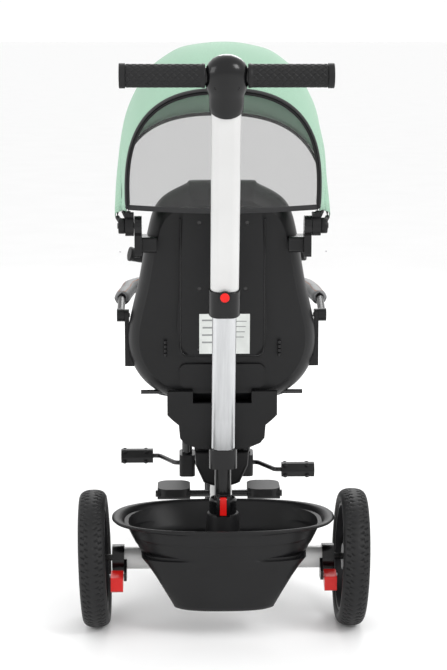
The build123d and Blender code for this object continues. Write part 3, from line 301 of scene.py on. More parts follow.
def leather(name, colour):
    """Soft leather-like cover: pebbled grain over slow shading."""
    material, tree, shader, place = new_material(name)
    cells = tree.nodes.new("ShaderNodeTexVoronoi")
    cells.inputs["Scale"].default_value = 520.0
    tree.links.new(place, cells.inputs["Vector"])
    slow = noise(tree, place, 14.0, 4.0)
    tree.links.new(
        ramp(tree, slow, ((0.3, shade(colour, 0.8)), (0.7, shade(colour, 1.12)))),
        shader.inputs["Base Color"],
    )
    tree.links.new(map_range(tree, slow, 0.42, 0.6), shader.inputs["Roughness"])
    bump(tree, shader, cells.outputs["Distance"], 0.4, 0.0004)
    return material


def make_materials():
    """Every finish by the name of its slot, and the extra ones for new pieces."""
    look = bpy.context.scene.trike_look
    mint = tuple(look.mint)
    red = tuple(look.red)
    return {
        "white_paint": painted("White Paint", (0.60, 0.60, 0.595), 0.36),
        "black_paint": painted("Black Paint", (0.006, 0.006, 0.0065), 0.25),
        "brushed_tube": brushed("Brushed Tube", (0.62, 0.63, 0.64), 0.32, (1.0, 0.06, 0.06)),
        "steel": brushed("Plated Steel", (0.55, 0.55, 0.56), 0.28, (0.3, 1.0, 1.0)),
        "black_plastic": moulded("Satin Black Plastic", (0.0055, 0.0055, 0.006), 0.40, 900.0),
        "gloss_black": moulded("Gloss Black Plastic", (0.004, 0.004, 0.0045), 0.24, 500.0, 0.00005, 0.12),
        "red_plastic": moulded("Red Plastic", red, 0.32, 600.0, 0.00005, 0.15),
        "grip_rubber": moulded("Grip Rubber", (0.008, 0.008, 0.0085), 0.5, 1200.0),
        "tyre_rubber": moulded("Tyre Rubber", (0.009, 0.009, 0.0095), 0.55, 700.0, 0.0002),
        "rim_plastic": moulded("Rim Plastic", (0.006, 0.006, 0.007), 0.38, 600.0),
        "mint_fabric": woven("Mint Fabric", shade(mint, 0.74), shade(mint, 1.22), 0.0014, True, 0.75),
        # The canopy's inner face and front edge: the same mint darkened to about a fifth, painted shade
        "mint_painted_shade": woven("Mint Painted Shade", shade(mint, 0.14), shade(mint, 0.24), 0.0014, True, 0.5),
        "mesh_fabric": open_mesh("Mesh Fabric", (0.10, 0.10, 0.10), 0.0009),
        "binding": woven("Black Binding", (0.012, 0.012, 0.013), (0.035, 0.035, 0.036), 0.0009),
        "seat_fabric": woven("Seat Fabric", (0.022, 0.022, 0.024), (0.075, 0.075, 0.08), 0.0012, False, 0.6),
        "guard_leather": leather("Guard Leather", (0.20, 0.20, 0.205)),
        "guard_stripe": leather("Guard Stripe", (0.24, 0.085, 0.04)),
        "guard_under": leather("Guard Underside", (0.016, 0.016, 0.017)),
        "strap_web": woven("Webbing", (0.015, 0.015, 0.016), (0.05, 0.05, 0.052), 0.0016),
        "label_film": moulded("Label Film", (0.62, 0.64, 0.62), 0.4, 300.0),
        "label_print": moulded("Label Print", (0.25, 0.26, 0.26), 0.5, 300.0),
    }


MATERIALS = {}
# Nodes with the steel slot that are shown painted black
BLACKENED = ("recline_rod", "guard_bar")


# Shapes

def deselect():
    """Nothing selected, and object mode."""
    if bpy.context.object and bpy.context.object.mode != "OBJECT":
        bpy.ops.object.mode_set(mode="OBJECT")
    bpy.ops.object.select_all(action="DESELECT")


def wrapped_grid(name, across, along, place_of, merge=True):
    """A grid whose points are each put in place by a function of two shares, its doubles merged."""
    deselect()
    bpy.ops.mesh.primitive_grid_add(
        x_subdivisions=across, y_subdivisions=along, size=2.0, calc_uvs=True, location=(0, 0, 0)
    )
    piece = bpy.context.object
    piece.name = name
    piece.data.name = name
    for vertex in piece.data.vertices:
        vertex.co = place_of((vertex.co.x + 1) / 2, (vertex.co.y + 1) / 2)
    if merge:
        bpy.ops.object.mode_set(mode="EDIT")
        bpy.ops.mesh.select_all(action="SELECT")
        bpy.ops.mesh.remove_doubles(threshold=0.00002)
        bpy.ops.mesh.normals_make_consistent(inside=False)
        bpy.ops.object.mode_set(mode="OBJECT")
    bpy.ops.object.shade_smooth_by_angle(angle=SMOOTH_ANGLE)
    return piece


def apply_modifiers(piece):
    """Applies every modifier on a piece."""
    deselect()
    bpy.context.view_layer.objects.active = piece
    piece.select_set(True)
    for modifier in list(piece.modifiers):
        bpy.ops.object.modifier_apply(modifier=modifier.name)


def join(name, parts):
    """Joins parts into one piece."""
    deselect()
    for part in parts:
        part.select_set(True)
    bpy.context.view_layer.objects.active = parts[0]
    bpy.ops.object.join()
    piece = bpy.context.object
    piece.name = name
    bpy.ops.object.transform_apply(location=True, rotation=True, scale=True)
    return piece


def scale_uv(piece, width, length):
    """Gives the piece's own UV map the real size of the cloth, in metres."""
    for loop in piece.data.uv_layers.active.data:
        loop.uv = (loop.uv[0] * width, loop.uv[1] * length)


def finish_piece(piece, body, slot, *materials):
    """Gives a finished piece its body and its materials; the slot's material stands in when no materials are
    given.
    """
    piece.data.materials.clear()
    for material in materials or (slot,):
        piece.data.materials.append(MATERIALS[material])
    if body:
        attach(piece, body)


def lofted(name, levels, around, place_of, power=2.5):
    """A closed body through oval levels, each (height, half width, rear, front), its two ends closed."""
    first, last = levels[0], levels[-1]
    closed = [
        (first[0], 0.0, (first[2] + first[3]) / 2, (first[2] + first[3]) / 2),
        *levels,
        (last[0], 0.0, (last[2] + last[3]) / 2, (last[2] + last[3]) / 2),
    ]
    rows = len(closed) - 1

    def point(u, v):
        height, half, rear, front = closed[round(v * rows)]
        turn = u * 2 * math.pi
        across = math.copysign(abs(math.cos(turn)) ** (2 / power), math.cos(turn))
        deep = math.copysign(abs(math.sin(turn)) ** (2 / power), math.sin(turn))
        return place_of(half * across, (rear + front) / 2 + (front - rear) / 2 * deep, height, across)

    return wrapped_grid(name, around, rows, point)


def rod(name, start, end, radius):
    """A round rod between two places, with softened ends."""
    deselect()
    bpy.ops.mesh.primitive_cylinder_add(vertices=40, radius=radius, depth=(end - start).length)
    piece = bpy.context.object
    piece.name = name
    piece.rotation_euler = (end - start).to_track_quat("Z", "Y").to_euler()
    piece.location = (start + end) / 2
    bpy.ops.object.transform_apply(location=True, rotation=True, scale=True)
    bevel = piece.modifiers.new("edges", "BEVEL")
    bevel.width = radius * 0.12
    bevel.segments = 2
    bevel.limit_method = "ANGLE"
    apply_modifiers(piece)
    bpy.ops.object.shade_smooth_by_angle(angle=SMOOTH_ANGLE)
    return piece


def at_end(share):
    """Whether a share of a grid lies at either of its ends."""
    return share < 0.0001 or share > 0.9999


def arch(reach, half, share, size=1.0):
    """A point on a canopy arch, from the left foot to the right one: across, and away from the knobs."""
    turn = (share - 0.5) * math.pi
    low = ARCH_FOOT / reach
    bulge = 0.955 + 0.045 * math.cos(turn * 1.2)
    across = math.copysign(abs(math.sin(turn)) ** ARCH_SIDE_POWER, turn) * half * bulge
    away = reach * (low + (1 - low) * abs(math.cos(turn)) ** ARCH_TOP_POWER)
    return across * size, away * size


def canopy_point(angle, across, away):
    """A place on the canopy from its angle about the knobs."""
    turn = math.radians(angle)
    return PIVOT + Vector((across, away * math.cos(turn), away * math.sin(turn)))


def bow_between(first, last, share):
    """The bow that would lie between two others."""
    return tuple(a + (b - a) * share for a, b in zip(first, last))


# Wheels

def tread_depth(turn, offset, blocks):
    """How far the tyre's surface lies below its tread: a centre rib and rows of small blocks."""
    distance = abs(offset)
    if distance < RIB_HALF or distance > TREAD_HALF:
        return 0.0
    if distance < RIB_GROOVE or ROW_GROOVE[0] < distance < ROW_GROOVE[1]:
        return TREAD_CUT
    row_shift = 0.5 if distance > ROW_SPLIT else 0.0
    side_shift = 0.25 if offset > 0 else 0.0
    phase = (turn * blocks + row_shift + side_shift + distance * TREAD_SLANT) % 1.0
    return TREAD_CUT if phase < CUT_SHARE else 0.0


def make_tyre(name, node, joint, blocks, depth):
    """A tyre with its tread cut in, about the wheel's axle."""
    low, high = (Vector(corner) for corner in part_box(node))
    fact = JOINTS[joint]
    centre = Vector(fact["pos_m"])
    radius = (high.z - low.z) / 2 if node == "front_tyre" else centre.z - FLOOR_GAP
    side = Vector(fact["axis"]).normalized()
    forward = Vector((0, 1, 0))
    upright = side.cross(forward)
    shoulder = radius - depth * 0.55

    def tyre_point(u, v):
        turn = u * 2 * math.pi
        bead = (v - 0.5) * 2 * math.pi
        offset = math.copysign(abs(math.sin(bead)) ** 0.85, math.sin(bead)) * (TYRE_WIDTH / 2 - 0.0006)
        rise = math.cos(bead)
        away = shoulder + (abs(rise) ** 0.8) * depth * (0.55 if rise > 0 else -0.42)
        if rise > 0:
            away -= tread_depth(u, offset, blocks)
        if 0 < rise < 0.25:
            away += 0.0006 * math.sin(rise * 40)
        radial = forward * math.cos(turn) + upright * math.sin(turn)
        return centre + radial * away + side * offset

    piece = wrapped_grid(name, 432, 64, tyre_point)
    finish_piece(piece, fact["child"], "tyre_rubber")
    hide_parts(node)


class TRIKE_OT_tyres(bpy.types.Operator):
    """Build the three tyres with their tread"""

    bl_idname = "trike.tyres"
    bl_label = "Tyres"

    def execute(self, context):
        for node, joint, blocks, depth in (
            ("rear_tyre_left", "rear_wheel_left_spin", 64, 0.028),
            ("rear_tyre_right", "rear_wheel_right_spin", 64, 0.028),
            ("front_tyre", "front_wheel_spin", 76, 0.030),
        ):
            make_tyre(f"{node}_tread", node, joint, blocks, depth)
        return {"FINISHED"}


# Grips

def crosshatch(u, along, cuts, pitch):
    """How deep the diamond pattern is cut at a place round and along a grip."""
    first = (u * cuts + along / pitch) % 1.0
    second = (u * cuts - along / pitch) % 1.0
    near = min(first, 1 - first, second, 1 - second)
    return 0.0011 * max(0.0, 1 - near / 0.16)


def make_grip(name, start, end, radius, body, node):
    """A rubber grip with a rolled ring at each end and diamonds between."""
    axis = (end - start).normalized()
    length = (end - start).length
    side = axis.cross(Vector((0, 0, 1))).normalized()
    lift = side.cross(axis)

    def place_of(u, v):
        turn = u * 2 * math.pi
        run = v * length
        remaining = length - run
        wide = radius
        if remaining < RING:
            wide = radius + 0.0012 * min(1.0, remaining / 0.0015)
        elif remaining < RING_GROOVE:
            wide = radius - 0.0008
        elif run < ROLL:
            wide = radius + 0.0008 * math.sin(run / ROLL * math.pi)
        elif run > ROLL_GAP:
            wide = radius - crosshatch(u, run, 10, 0.0115)
        if at_end(v):
            wide = 0.0
        return start + axis * run + (side * math.cos(turn) + lift * math.sin(turn)) * wide

    piece = wrapped_grid(name, 150, 190, place_of)
    finish_piece(piece, body, "grip_rubber")
    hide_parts(node)
    return piece


class TRIKE_OT_grips(bpy.types.Operator):
    """Build the parent's grips and the child's grips"""

    bl_idname = "trike.grips"
    bl_label = "Grips"

    def execute(self, context):
        low, high = (Vector(corner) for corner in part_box("handle_grips"))
        middle = (low + high) / 2
        for side, hand in ((-1, "left"), (1, "right")):
            make_grip(
                f"parent_grip_{hand}",
                Vector((side * 0.034, middle.y, middle.z)),
                Vector((side * high.x, middle.y, middle.z)),
                0.0190,
                "handle_upper",
                "handle_grips",
            )
        low, high = (Vector(corner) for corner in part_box("child_grips"))
        bar_low, bar_high = (Vector(corner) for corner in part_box("child_handlebar"))
        for side, hand in ((-1, "left"), (1, "right")):
            outer = Vector((side * (high.x - 0.002), bar_low.y + 0.010, bar_high.z - 0.011))
            inner = Vector((side * 0.070, bar_high.y - 0.012, bar_low.z + 0.011))
            along = (inner - outer).normalized()
            make_grip(
                f"child_grip_{hand}", outer, outer + along * 0.105, 0.0142, "steering", "child_grips"
            )
        return {"FINISHED"}


# Canopy

class TRIKE_OT_canopy(bpy.types.Operator):
    """Build the canopy's cloth, its bindings and its mesh window"""

    bl_idname = "trike.canopy"
    bl_label = "Canopy"

    def execute(self, context):
        span = REAR_BOW[0] - FRONT_BOW[0]
        top_share = (REAR_BOW[0] - TOP_BOW[0]) / span

        def bow_at(v):
            if v < top_share:
                share = v / top_share
                bow, most = bow_between(REAR_BOW, TOP_BOW, share), REAR_BELLY
            else:
                share = (v - top_share) / (1 - top_share)
                bow, most = bow_between(TOP_BOW, FRONT_BOW, share), FRONT_BELLY
            belly = math.sin(share * math.pi) * most
            return bow[0], bow[1] + belly, bow[2] + belly * 0.3

        def cloth_point(u, v):
            angle, reach, half = bow_at(v)
            across, away = arch(reach, half, u)
            crease = 0.0006 * math.sin(u * 57 + v * 9) * math.sin(v * math.pi)
            seam = 0.0012 * math.exp(-(((v - top_share) / 0.006) ** 2))
            size = 1 + (crease + seam) / max(away, 0.05)
            return canopy_point(angle, across * size, away * size)

        cloth = wrapped_grid("canopy_cloth", 150, 110, cloth_point, merge=False)
        middle_reach = (cloth_point(0.5, 0.5) - PIVOT).length
        length = middle_reach * math.radians(span)
        width = ARCH_RUN * middle_reach
        scale_uv(cloth, width, length)
        thick = cloth.modifiers.new("thickness", "SOLIDIFY")
        thick.thickness = 0.0012
        thick.offset = 0.0
        thick.use_even_offset = True
        thick.material_offset = 1
        thick.material_offset_rim = 0
        apply_modifiers(cloth)
        outward = cloth.data.polygons[len(cloth.data.polygons) // 4]
        # The inner face gets the mint darkened to about a fifth: painted shade
        first, second = ("mint_fabric", "mint_painted_shade")
        if outward.normal.dot(outward.center - PIVOT) < 0:
            first, second = second, first
        finish_piece(cloth, None, "mint_fabric", first, second)
        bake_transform(cloth)
        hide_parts("canopy_rear_panel", "canopy_front_panel")

        for name, bow, body, wide, thin, material in (
            ("canopy_rear_binding", REAR_BOW, "backrest", 0.0058, 0.0022, "binding"),
            # The front edge is drawn in the darkened mint too: painted shade
            ("canopy_front_binding", FRONT_BOW, "canopy_front", 0.0022, 0.0012, "mint_painted_shade"),
        ):

            def binding_point(u, v, bow=bow, wide=wide, thin=thin):
                across, away = arch(bow[1], bow[2], u, BINDING_SHARE)
                turn = math.radians(bow[0])
                away_dir = Vector((0, math.cos(turn), math.sin(turn)))
                round_dir = Vector((0, -math.sin(turn), math.cos(turn)))
                outward = (Vector((across, 0, 0)) + away_dir * away).normalized()
                spin = v * 2 * math.pi
                size = 0.02 if at_end(u) else 1.0
                return (
                    canopy_point(bow[0], across, away)
                    + round_dir * wide * size * math.cos(spin)
                    + outward * thin * size * math.sin(spin)
                )

            binding = wrapped_grid(name, 120, 12, binding_point)
            finish_piece(binding, body, "strap_web", material)

        for name, bows, body, node, hub_x in (
            ("canopy_bow_tubes", (REAR_BOW, TOP_BOW), "backrest", "canopy_fixed_bows", None),
            ("canopy_front_tube", (FRONT_BOW,), "canopy_front", "canopy_moving_bow", MOVING_HUB_X),
        ):
            tubes = []
            for bow in bows:

                def tube_point(u, v, bow=bow):
                    across, away = arch(bow[1], bow[2], u, TUBE_SHARE)
                    spin = v * 2 * math.pi
                    size = 0.0002 if at_end(u) else TUBE_RADIUS
                    outward = Vector((across, 0, 0)) + (canopy_point(bow[0], 0, away) - PIVOT)
                    turn = math.radians(bow[0])
                    round_dir = Vector((0, -math.sin(turn), math.cos(turn)))
                    return (
                        canopy_point(bow[0], across, away)
                        + outward.normalized() * size * math.cos(spin)
                        + round_dir * size * math.sin(spin)
                    )

                tubes.append(wrapped_grid("tube", 110, 12, tube_point))
                for side in (-1, 1):
                    start = canopy_point(bow[0], side * (hub_x or FIXED_FOOT_X), 0.006)
                    end = canopy_point(bow[0], *arch(bow[1], bow[2], 0.5 + side * 0.5, TUBE_SHARE))
                    tubes.append(rod("foot", start, end, 0.0042))
            if hub_x:
                half_hub = Vector((0.006, 0, 0))
                for side in (-1, 1):
                    middle = PIVOT + Vector((side * hub_x, 0, 0))
                    tubes.append(rod("hub", middle - half_hub, middle + half_hub, 0.014))
            tubes = join(name, tubes)
            finish_piece(tubes, body, "black_plastic")
            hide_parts(node)

        low_away = 0.036
        bow = bow_between(REAR_BOW, TOP_BOW, 0.03)

        turn = math.radians(bow[0])
        off_plane = Vector((0, -math.sin(turn), math.cos(turn)))

        def window_point(u, v):
            share = 0.06 + u * 0.88
            across, away = arch(bow[1], bow[2], share, WINDOW_SHARE)
            sway = math.cos(across / bow[2] * math.pi / 2)
            bottom = low_away - 0.008 * sway
            height = bottom + (away - bottom) * v
            billow = 0.010 * math.sin(v * math.pi) * sway
            return canopy_point(bow[0], across, height) + off_plane * billow

        window = wrapped_grid("canopy_mesh", 90, 50, window_point, merge=False)
        width, length = 0.37, 0.25
        scale_uv(window, width, length)
        finish_piece(window, "backrest", "mesh_fabric")
        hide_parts("canopy_window")

        def strip_point(u, v):
            across = (u - 0.5) * 2 * bow[2] * 0.955
            bottom = low_away - 0.008 * math.cos(across / bow[2] * math.pi / 2)
            spin = v * 2 * math.pi
            size = 0.05 if at_end(u) else 1.0
            return (
                canopy_point(bow[0], across, bottom + 0.005 * math.sin(spin) * size)
                + off_plane * 0.0018 * size * math.cos(spin)
            )

        strip = wrapped_grid("canopy_lower_strip", 60, 12, strip_point)
        finish_piece(strip, "backrest", "strap_web", "binding")
        return {"FINISHED"}


# Padding

def softened_copy(name, node, voxel, rounds):
    """A copy of a node's solid, remeshed and smoothed, to be shaped as padding."""
    source = frame["nodes"][node]
    deselect()
    piece = source.copy()
    piece.data = source.data.copy()
    piece.parent = None
    piece.name = name
    piece.hide_render = False
    bpy.context.collection.objects.link(piece)
    remesh = piece.modifiers.new("remesh", "REMESH")
    remesh.mode = "VOXEL"
    remesh.voxel_size = voxel
    smooth = piece.modifiers.new("smooth", "SMOOTH")
    smooth.iterations = rounds
    smooth.factor = 0.6
    apply_modifiers(piece)
    return piece


def subdivide(piece):
    """Divides a shaped piece's faces once and shades it smooth."""
    subdivision = piece.modifiers.new("smooth surface", "SUBSURF")
    subdivision.levels = 1
    subdivision.render_levels = 1
    apply_modifiers(piece)
    bpy.ops.object.shade_smooth()


def cushion(name, node, tilt, body, channels, puff):
    """A crowned cushion in the space of its node: rounded outline, pulled-in sides and sewn channels."""
    low, high = (Vector(corner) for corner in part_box(node))
    piece = softened_copy(name, node, 0.004, 12)
    middle = (low + high) / 2
    face = Vector((0, math.cos(tilt), -math.sin(tilt))) if tilt else Vector((0, 0, 1))
    run = Vector((0, -math.sin(tilt), math.cos(tilt))) if tilt else Vector((0, 1, 0))
    normals = [vertex.normal.copy() for vertex in piece.data.vertices]
    reach = max((vertex.co - middle).dot(run) for vertex in piece.data.vertices)
    for vertex, normal in zip(piece.data.vertices, normals):
        offset = vertex.co - middle
        along = offset.dot(run) / reach
        across = offset.x / ((high.x - low.x) / 2)
        crown = max(0.0, (1 - across * across) * (1 - along * along))
        facing = max(0.0, normal.dot(face))
        channel = sum(math.exp(-(((along - line) / 0.035) ** 2)) for line in channels)
        rib = math.exp(-(((abs(across) - 0.62) / 0.03) ** 2))
        vertex.co += face * facing * (puff * crown - 0.006 * channel - 0.004 * rib)
    subdivide(piece)
    finish_piece(piece, body, "seat_fabric")
    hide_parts(node)
    return piece


class TRIKE_OT_cushions(bpy.types.Operator):
    """Build the seat cushion and the back cushion"""

    bl_idname = "trike.cushions"
    bl_label = "Cushions"

    def execute(self, context):
        cushion("seat_pad", "seat_cushion", 0.0, "seat", (-0.35, 0.35), 0.008)
        cushion("back_pad", "back_cushion", BACK_LEAN, "backrest", (-0.45, 0.0, 0.45), 0.008)
        return {"FINISHED"}


class TRIKE_OT_guard(bpy.types.Operator):
    """Build the guard bar's padded cover with its stitched stripes"""

    bl_idname = "trike.guard"
    bl_label = "Guard pad"

    def execute(self, context):
        piece = softened_copy("guard_cover", "guard_pad", 0.0035, 8)
        for vertex in piece.data.vertices:
            wave = math.sin(vertex.co.x * 95) * math.sin(vertex.co.y * 83)
            vertex.co += vertex.normal * (0.0006 * wave + 0.0008)
        subdivide(piece)
        finish_piece(piece, "guard", "guard_leather", "guard_leather", "guard_stripe", "guard_under")
        for face in piece.data.polygons:
            stripe = face.normal.z > 0.55 and abs(face.normal.z - 0.86) < 0.035
            face.material_index = 1 if stripe else (2 if face.normal.z < -0.15 else 0)
        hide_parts("guard_pad")
        return {"FINISHED"}


BASKET_OUTSIDE = (
    (54, 84, -96, -34), (56, 90, -99, -30), (62, 93, -101.5, -28), (88, 108, -103.5, -27),
    (112, 122, -105, -26.5), (133, 136, -106.5, -26), (147, 147, -107.5, -26), (149.5, 150, -107.7, 84),
    (152, 152.5, -108, 87), (160, 157, -108.5, 91), (174, 162.5, -109, 97), (175, 163, -109.2, 98),
    (178, 166.5, -110.6, 100.5), (179, 167, -110.7, 101), (190, 169.5, -110.8, 105), (196, 172, -111, 108),
    (198, 191, -112, 111), (200, 199, -113, 114), (203, 202, -113.5, 115), (205, 199, -112, 114),
)
BASKET_INSIDE = (
    (205, 194, -109.5, 111.5), (203.5, 187, -107.5, 108), (199, 181, -107, 105.5), (190, 174, -106.8, 101.5),
    (178, 168, -106.5, 96.5), (165, 161, -106, 91), (156, 154, -105.5, 86), (153.2, 148, -105, 80),
    (153, 145, -104.5, 78), (152.9, 140, -104, -29), (133, 132, -103.5, -29), (88, 104, -100.5, -30),
    (60, 90, -97, -32), (57.2, 84, -93, -36),
)
BOSS = (
    (150, 40), (154, 39), (160, 34), (172, 31), (200, 29.5), (204, 28.5), (205, 27), (205, 17), (150, 17),
)


class TRIKE_OT_basket(bpy.types.Operator):
    """Build the oval basket with its rolled rim and the boss round the handle's socket"""

    bl_idname = "trike.basket"
    bl_label = "Basket"

    def execute(self, context):
        axle = JOINTS["rear_wheel_left_spin"]["pos_m"][1]
        handle = JOINTS["handle_turn"]["pos_m"][1]

        def basket_point(across, along, height, _):
            return Vector((across * MM, axle + along * MM, height * MM))

        bowl = lofted("bowl", BASKET_OUTSIDE + BASKET_INSIDE, 160, basket_point)

        def boss_point(u, v):
            height, radius = BOSS[min(round(v * len(BOSS)), len(BOSS) - 1)] if v < 0.999 else BOSS[0]
            turn = u * 2 * math.pi
            return Vector((radius * MM * math.cos(turn), handle + radius * MM * math.sin(turn), height * MM))

        boss = wrapped_grid("boss", 64, len(BOSS), boss_point)
        piece = join("oval_basket", [bowl, boss])
        finish_piece(piece, "frame", "black_plastic")
        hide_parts("basket")
        return {"FINISHED"}


HOUSING = (
    (-68, 27, -18.5, 18.5), (-66.5, 28, -19.5, 19.5), (-55, 28.3, -19.8, 19.8), (-36, 28.8, -20.5, 20.5),
    (-29, 30, -22, 22), (-22, 33, -24, 24), (-12, 35.3, -26, 26), (0, 36, -27, 27), (12, 34.2, -26, 26),
    (20, 30, -23.5, 23.5), (27, 23.5, -19, 19), (32, 15, -12.5, 12.5), (34.5, 7, -6, 6),
)


class TRIKE_OT_housing(bpy.types.Operator):
    """Build the domed housing between the parent's grips"""

    bl_idname = "trike.housing"
    bl_label = "Handle housing"

    def execute(self, context):
        low, high = (Vector(corner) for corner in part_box("handle_grips"))
        middle = (low + high) / 2
        middle.x = 0.0
        up = -Vector(JOINTS["handle_telescope"]["axis"])
        if up.z < 0:
            up = -up
        front = Vector((1, 0, 0)).cross(up) * -1

        def housing_point(across, along, height, share):
            if height < -50:
                height += 7 * share * share
            return middle + Vector((across * MM, 0, 0)) + front * (along * MM) + up * (height * MM)

        body = lofted("dome", HOUSING, 96, housing_point, 2.15)
        core = rod("core", middle - Vector((0.171, 0, 0)), middle + Vector((0.171, 0, 0)), 0.0135)
        piece = join("domed_housing", [body, core])
        finish_piece(piece, "handle_upper", "gloss_black")
        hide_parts("handle_housing")
        holes = []
        for side in (-1, 1):
            place = middle + Vector((side * 0.0175, 0, 0)) + up * -0.013
            rear = -front if front.y > 0 else front
            start = place + rear * 0.0205
            holes.append(rod("hole", start, start + rear * 0.0022, 0.0034))
        holes = join("housing_screws", holes)
        finish_piece(holes, "handle_upper", "black_plastic")
        return {"FINISHED"}


class TRIKE_OT_pedals(bpy.types.Operator):
    """Add the grip studs on the two pedals"""

    bl_idname = "trike.pedals"
    bl_label = "Pedal studs"

    def execute(self, context):
        for node, body in (("pedal_left", "left_pedal"), ("pedal_right", "right_pedal")):
            low, high = (Vector(corner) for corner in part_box(node))
            middle = (low + high) / 2
            reach = (high - low) / 2
            studs = []
            for across in (-0.78, 0.55):
                for turn in (45, 135, 225, 315):
                    out = Vector((0, math.cos(math.radians(turn)), math.sin(math.radians(turn))))
                    start = middle + Vector((across * reach.x, 0, 0)) + out * reach.z * 0.80
                    studs.append(rod("stud", start, start + out * reach.z * 0.45, 0.0042))
            studs = join(f"{node}_studs", studs)
            finish_piece(studs, body, "black_plastic")
        return {"FINISHED"}


class TRIKE_OT_label(bpy.types.Operator):
    """Build the plain label on the seat back, with a few blank ruled bars"""

    bl_idname = "trike.label"
    bl_label = "Plain label"

    def execute(self, context):
        low, high = (Vector(corner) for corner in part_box("back_covers"))
        height = 0.530
        rise = (high.z - height) / math.cos(BACK_LEAN)
        centre = Vector((0.004, low.y, high.z)) - BACK_UP * rise
        centre += BACK_REAR * 0.0012

        def plate(name, across, along, width, tall, thick, material):
            deselect()
            bpy.ops.mesh.primitive_cube_add(size=1, location=(0, 0, 0))
            piece = bpy.context.object
            for vertex in piece.data.vertices:
                co = vertex.co.copy()
                vertex.co = (
                    centre
                    + Vector((across + co.x * width, 0, 0))
                    + BACK_UP * (along + co.z * tall)
                    + BACK_REAR * (thick / 2 + co.y * thick)
                )
            piece.data.materials.append(MATERIALS[material])
            return piece

        parts = [plate("label", 0, 0, 0.092, 0.076, 0.0005, "label_film")]
        bars = ((0.030, -0.026), (0.036, -0.022), (0.022, -0.030), (0.030, -0.026))
        for row, (width, across) in enumerate(bars):
            along = 0.026 - row * 0.014
            parts.append(plate("bar", across, along, width, 0.003, 0.0007, "label_print"))
        for row in range(4):
            along, width = 0.024 - row * 0.010, 0.032 - row * 0.003
            parts.append(plate("bar", 0.024, along, width, 0.0016, 0.0007, "label_print"))
        for part in parts:
            deselect()
            bpy.context.view_layer.objects.active = part
            part.select_set(True)
            bpy.ops.object.mode_set(mode="EDIT")
            bpy.ops.mesh.select_all(action="SELECT")
            bpy.ops.mesh.normals_make_consistent(inside=False)
            bpy.ops.object.mode_set(mode="OBJECT")
        piece = join("plain_label", parts)
        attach(piece, "backrest")
        return {"FINISHED"}


class TRIKE_OT_seat_back(bpy.types.Operator):
    """Add the seat back's lips, the harness slots and the bolts on the clip plates"""

    bl_idname = "trike.seat_back"
    bl_label = "Seat back details"

    def execute(self, context):
        low, high = (Vector(corner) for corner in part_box("back_covers"))
        top = Vector((0, low.y, high.z))

        def on_panel(across, down, out=0.0):
            return top + Vector((across, 0, 0)) - BACK_UP * down + BACK_REAR * out

        lips = []
        for across in (-LIP_HALF, LIP_HALF):
            lips.append(rod("lip", on_panel(across, LIP_START), on_panel(across, LIP_BEND), LIP_RADIUS))
        bend = (
            (-LIP_HALF, LIP_BEND), (-0.074, 0.272), (-0.067, 0.278),
            (0.067, 0.278), (0.074, 0.272), (LIP_HALF, LIP_BEND),
        )
        for first, last in zip(bend, bend[1:]):
            lips.append(rod("lip", on_panel(*first), on_panel(*last), LIP_RADIUS))
        lips = join("panel_lip", lips)
        finish_piece(lips, "backrest", "gloss_black")
        slots = []
        for side in (-1, 1):
            for index in range(4):
                start = on_panel(side * 0.104, 0.252 + index * 0.008, -0.001)
                slots.append(rod("slot", start - BACK_UP * 0.003, start + BACK_UP * 0.003, 0.0030))
        slots = join("harness_slots", slots)
        finish_piece(slots, "backrest", "gloss_black")
        low, high = (Vector(corner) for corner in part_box("canopy_brackets"))
        bolts = []
        for side in (-1, 1):
            start = Vector((side * (high.x - 0.005), low.y, low.z + 0.012))
            bolts.append(rod("bolt", start, start + Vector((0, -0.0012, 0)), 0.0016))
        bolts = join("clip_bolts", bolts)
        finish_piece(bolts, "backrest", "steel")
        return {"FINISHED"}


class TRIKE_OT_finishes(bpy.types.Operator):
    """Give every frame node its finish"""

    bl_idname = "trike.finishes"
    bl_label = "Frame finishes"

    def execute(self, context):
        for name, node in frame["nodes"].items():
            material = MATERIALS["black_paint" if name in BLACKENED else SLOTS[name]]
            node.data.materials.clear()
            node.data.materials.append(material)
        return {"FINISHED"}


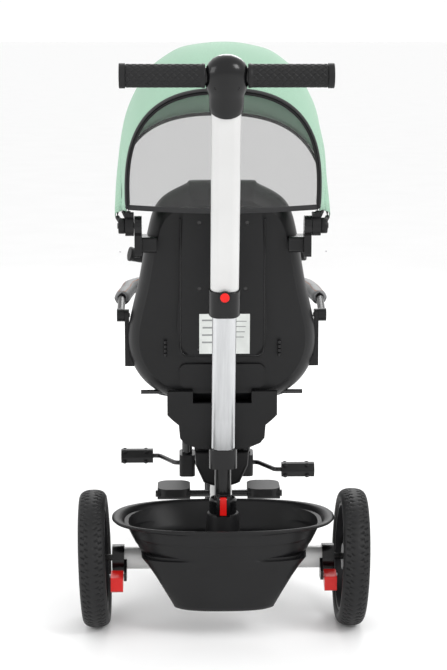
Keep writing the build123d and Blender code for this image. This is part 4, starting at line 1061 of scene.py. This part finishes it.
class TRIKE_OT_stage(bpy.types.Operator):
    """Add the floor, the soft lights and the camera"""

    bl_idname = "trike.stage"
    bl_label = "Stage"

    def execute(self, context):
        deselect()
        bpy.ops.mesh.primitive_plane_add(size=400, location=(0, 0, 0))
        floor = bpy.context.object
        floor.name = "floor"
        material, tree, shader, place = new_material("Pale Floor")
        tree.links.new(
            ramp(tree, noise(tree, place, 3.0), ((0.3, (0.93, 0.93, 0.93)), (0.7, (0.95, 0.95, 0.95)))),
            shader.inputs["Base Color"],
        )
        shader.inputs["Roughness"].default_value = 0.7
        floor.data.materials.append(material)

        world = bpy.data.worlds.new("Studio")
        bpy.context.scene.world = world
        world.use_nodes = True
        background = world.node_tree.nodes["Background"]
        background.inputs["Color"].default_value = (1, 1, 1, 1)
        background.inputs["Strength"].default_value = 1.02
        for name, place, size, power, tint in (
            ("key", (2.4, -2.6, 2.8), 1.4, 62, (1, 1, 1)),
            ("fill", (-2.8, -1.6, 1.6), 1.6, 26, (1, 1, 1)),
            ("rim", (0.4, 2.8, 2.6), 1.8, 46, (1, 1, 1)),
        ):
            light = bpy.data.lights.new(name, "AREA")
            light.size = size
            light.energy = power
            light.color = tint
            lamp = bpy.data.objects.new(name, light)
            bpy.context.collection.objects.link(lamp)
            lamp.location = place
            look = Vector((0, 0, 0.5)) - Vector(place)
            lamp.rotation_euler = look.to_track_quat("-Z", "Y").to_euler()

        rear_axle = Vector(JOINTS["rear_wheel_left_spin"]["pos_m"])
        camera = bpy.data.objects.new("camera", bpy.data.cameras.new("camera"))
        bpy.context.collection.objects.link(camera)
        camera.location = (-0.075, rear_axle.y - 3.10, 1.07)
        camera.rotation_euler = (math.radians(90 - 9.75), 0, math.radians(-1.4))
        camera.data.sensor_width = 36.0
        camera.data.lens = 94.5
        bpy.context.scene.camera = camera
        bpy.context.scene.view_settings.view_transform = "Standard"
        return {"FINISHED"}


class TrikeLook(bpy.types.PropertyGroup):
    """Colours that an owner might change"""

    mint: bpy.props.FloatVectorProperty(
        name="Canopy colour", description="Main colour of the canopy's cloth", subtype="COLOR",
        size=3, min=0.0, max=1.0, default=(0.32, 0.50, 0.38),
    )
    red: bpy.props.FloatVectorProperty(
        name="Accent colour", description="Colour of the pedals and latches", subtype="COLOR",
        size=3, min=0.0, max=1.0, default=(0.70, 0.008, 0.006),
    )


OPERATORS = (
    TRIKE_OT_stage,
    TRIKE_OT_finishes,
    TRIKE_OT_tyres,
    TRIKE_OT_grips,
    TRIKE_OT_housing,
    TRIKE_OT_basket,
    TRIKE_OT_pedals,
    TRIKE_OT_canopy,
    TRIKE_OT_cushions,
    TRIKE_OT_guard,
    TRIKE_OT_label,
    TRIKE_OT_seat_back,
)


class TRIKE_PT_panel(bpy.types.Panel):
    """Lists the tricycle's pieces in the sidebar"""

    bl_idname = "TRIKE_PT_panel"
    bl_label = "Push Tricycle"
    bl_space_type = "VIEW_3D"
    bl_region_type = "UI"
    bl_category = "Tricycle"

    def draw(self, context):
        look = context.scene.trike_look
        self.layout.prop(look, "mint")
        self.layout.prop(look, "red")
        for operator in OPERATORS:
            self.layout.operator(operator.bl_idname)


CLASSES = (TrikeLook, *OPERATORS, TRIKE_PT_panel)


def register():
    """Registers the classes and the scene's settings."""
    for one in CLASSES:
        bpy.utils.register_class(one)
    bpy.types.Scene.trike_look = bpy.props.PointerProperty(type=TrikeLook)


def unregister():
    """Removes the scene's settings and the classes."""
    del bpy.types.Scene.trike_look
    for one in reversed(CLASSES):
        bpy.utils.unregister_class(one)


def main():
    """Builds everything in order."""
    register()
    MATERIALS.update(make_materials())
    for operator in OPERATORS:
        name = operator.bl_idname.split(".")[1]
        getattr(bpy.ops.trike, name)()


if __name__ == "__main__":
    main()
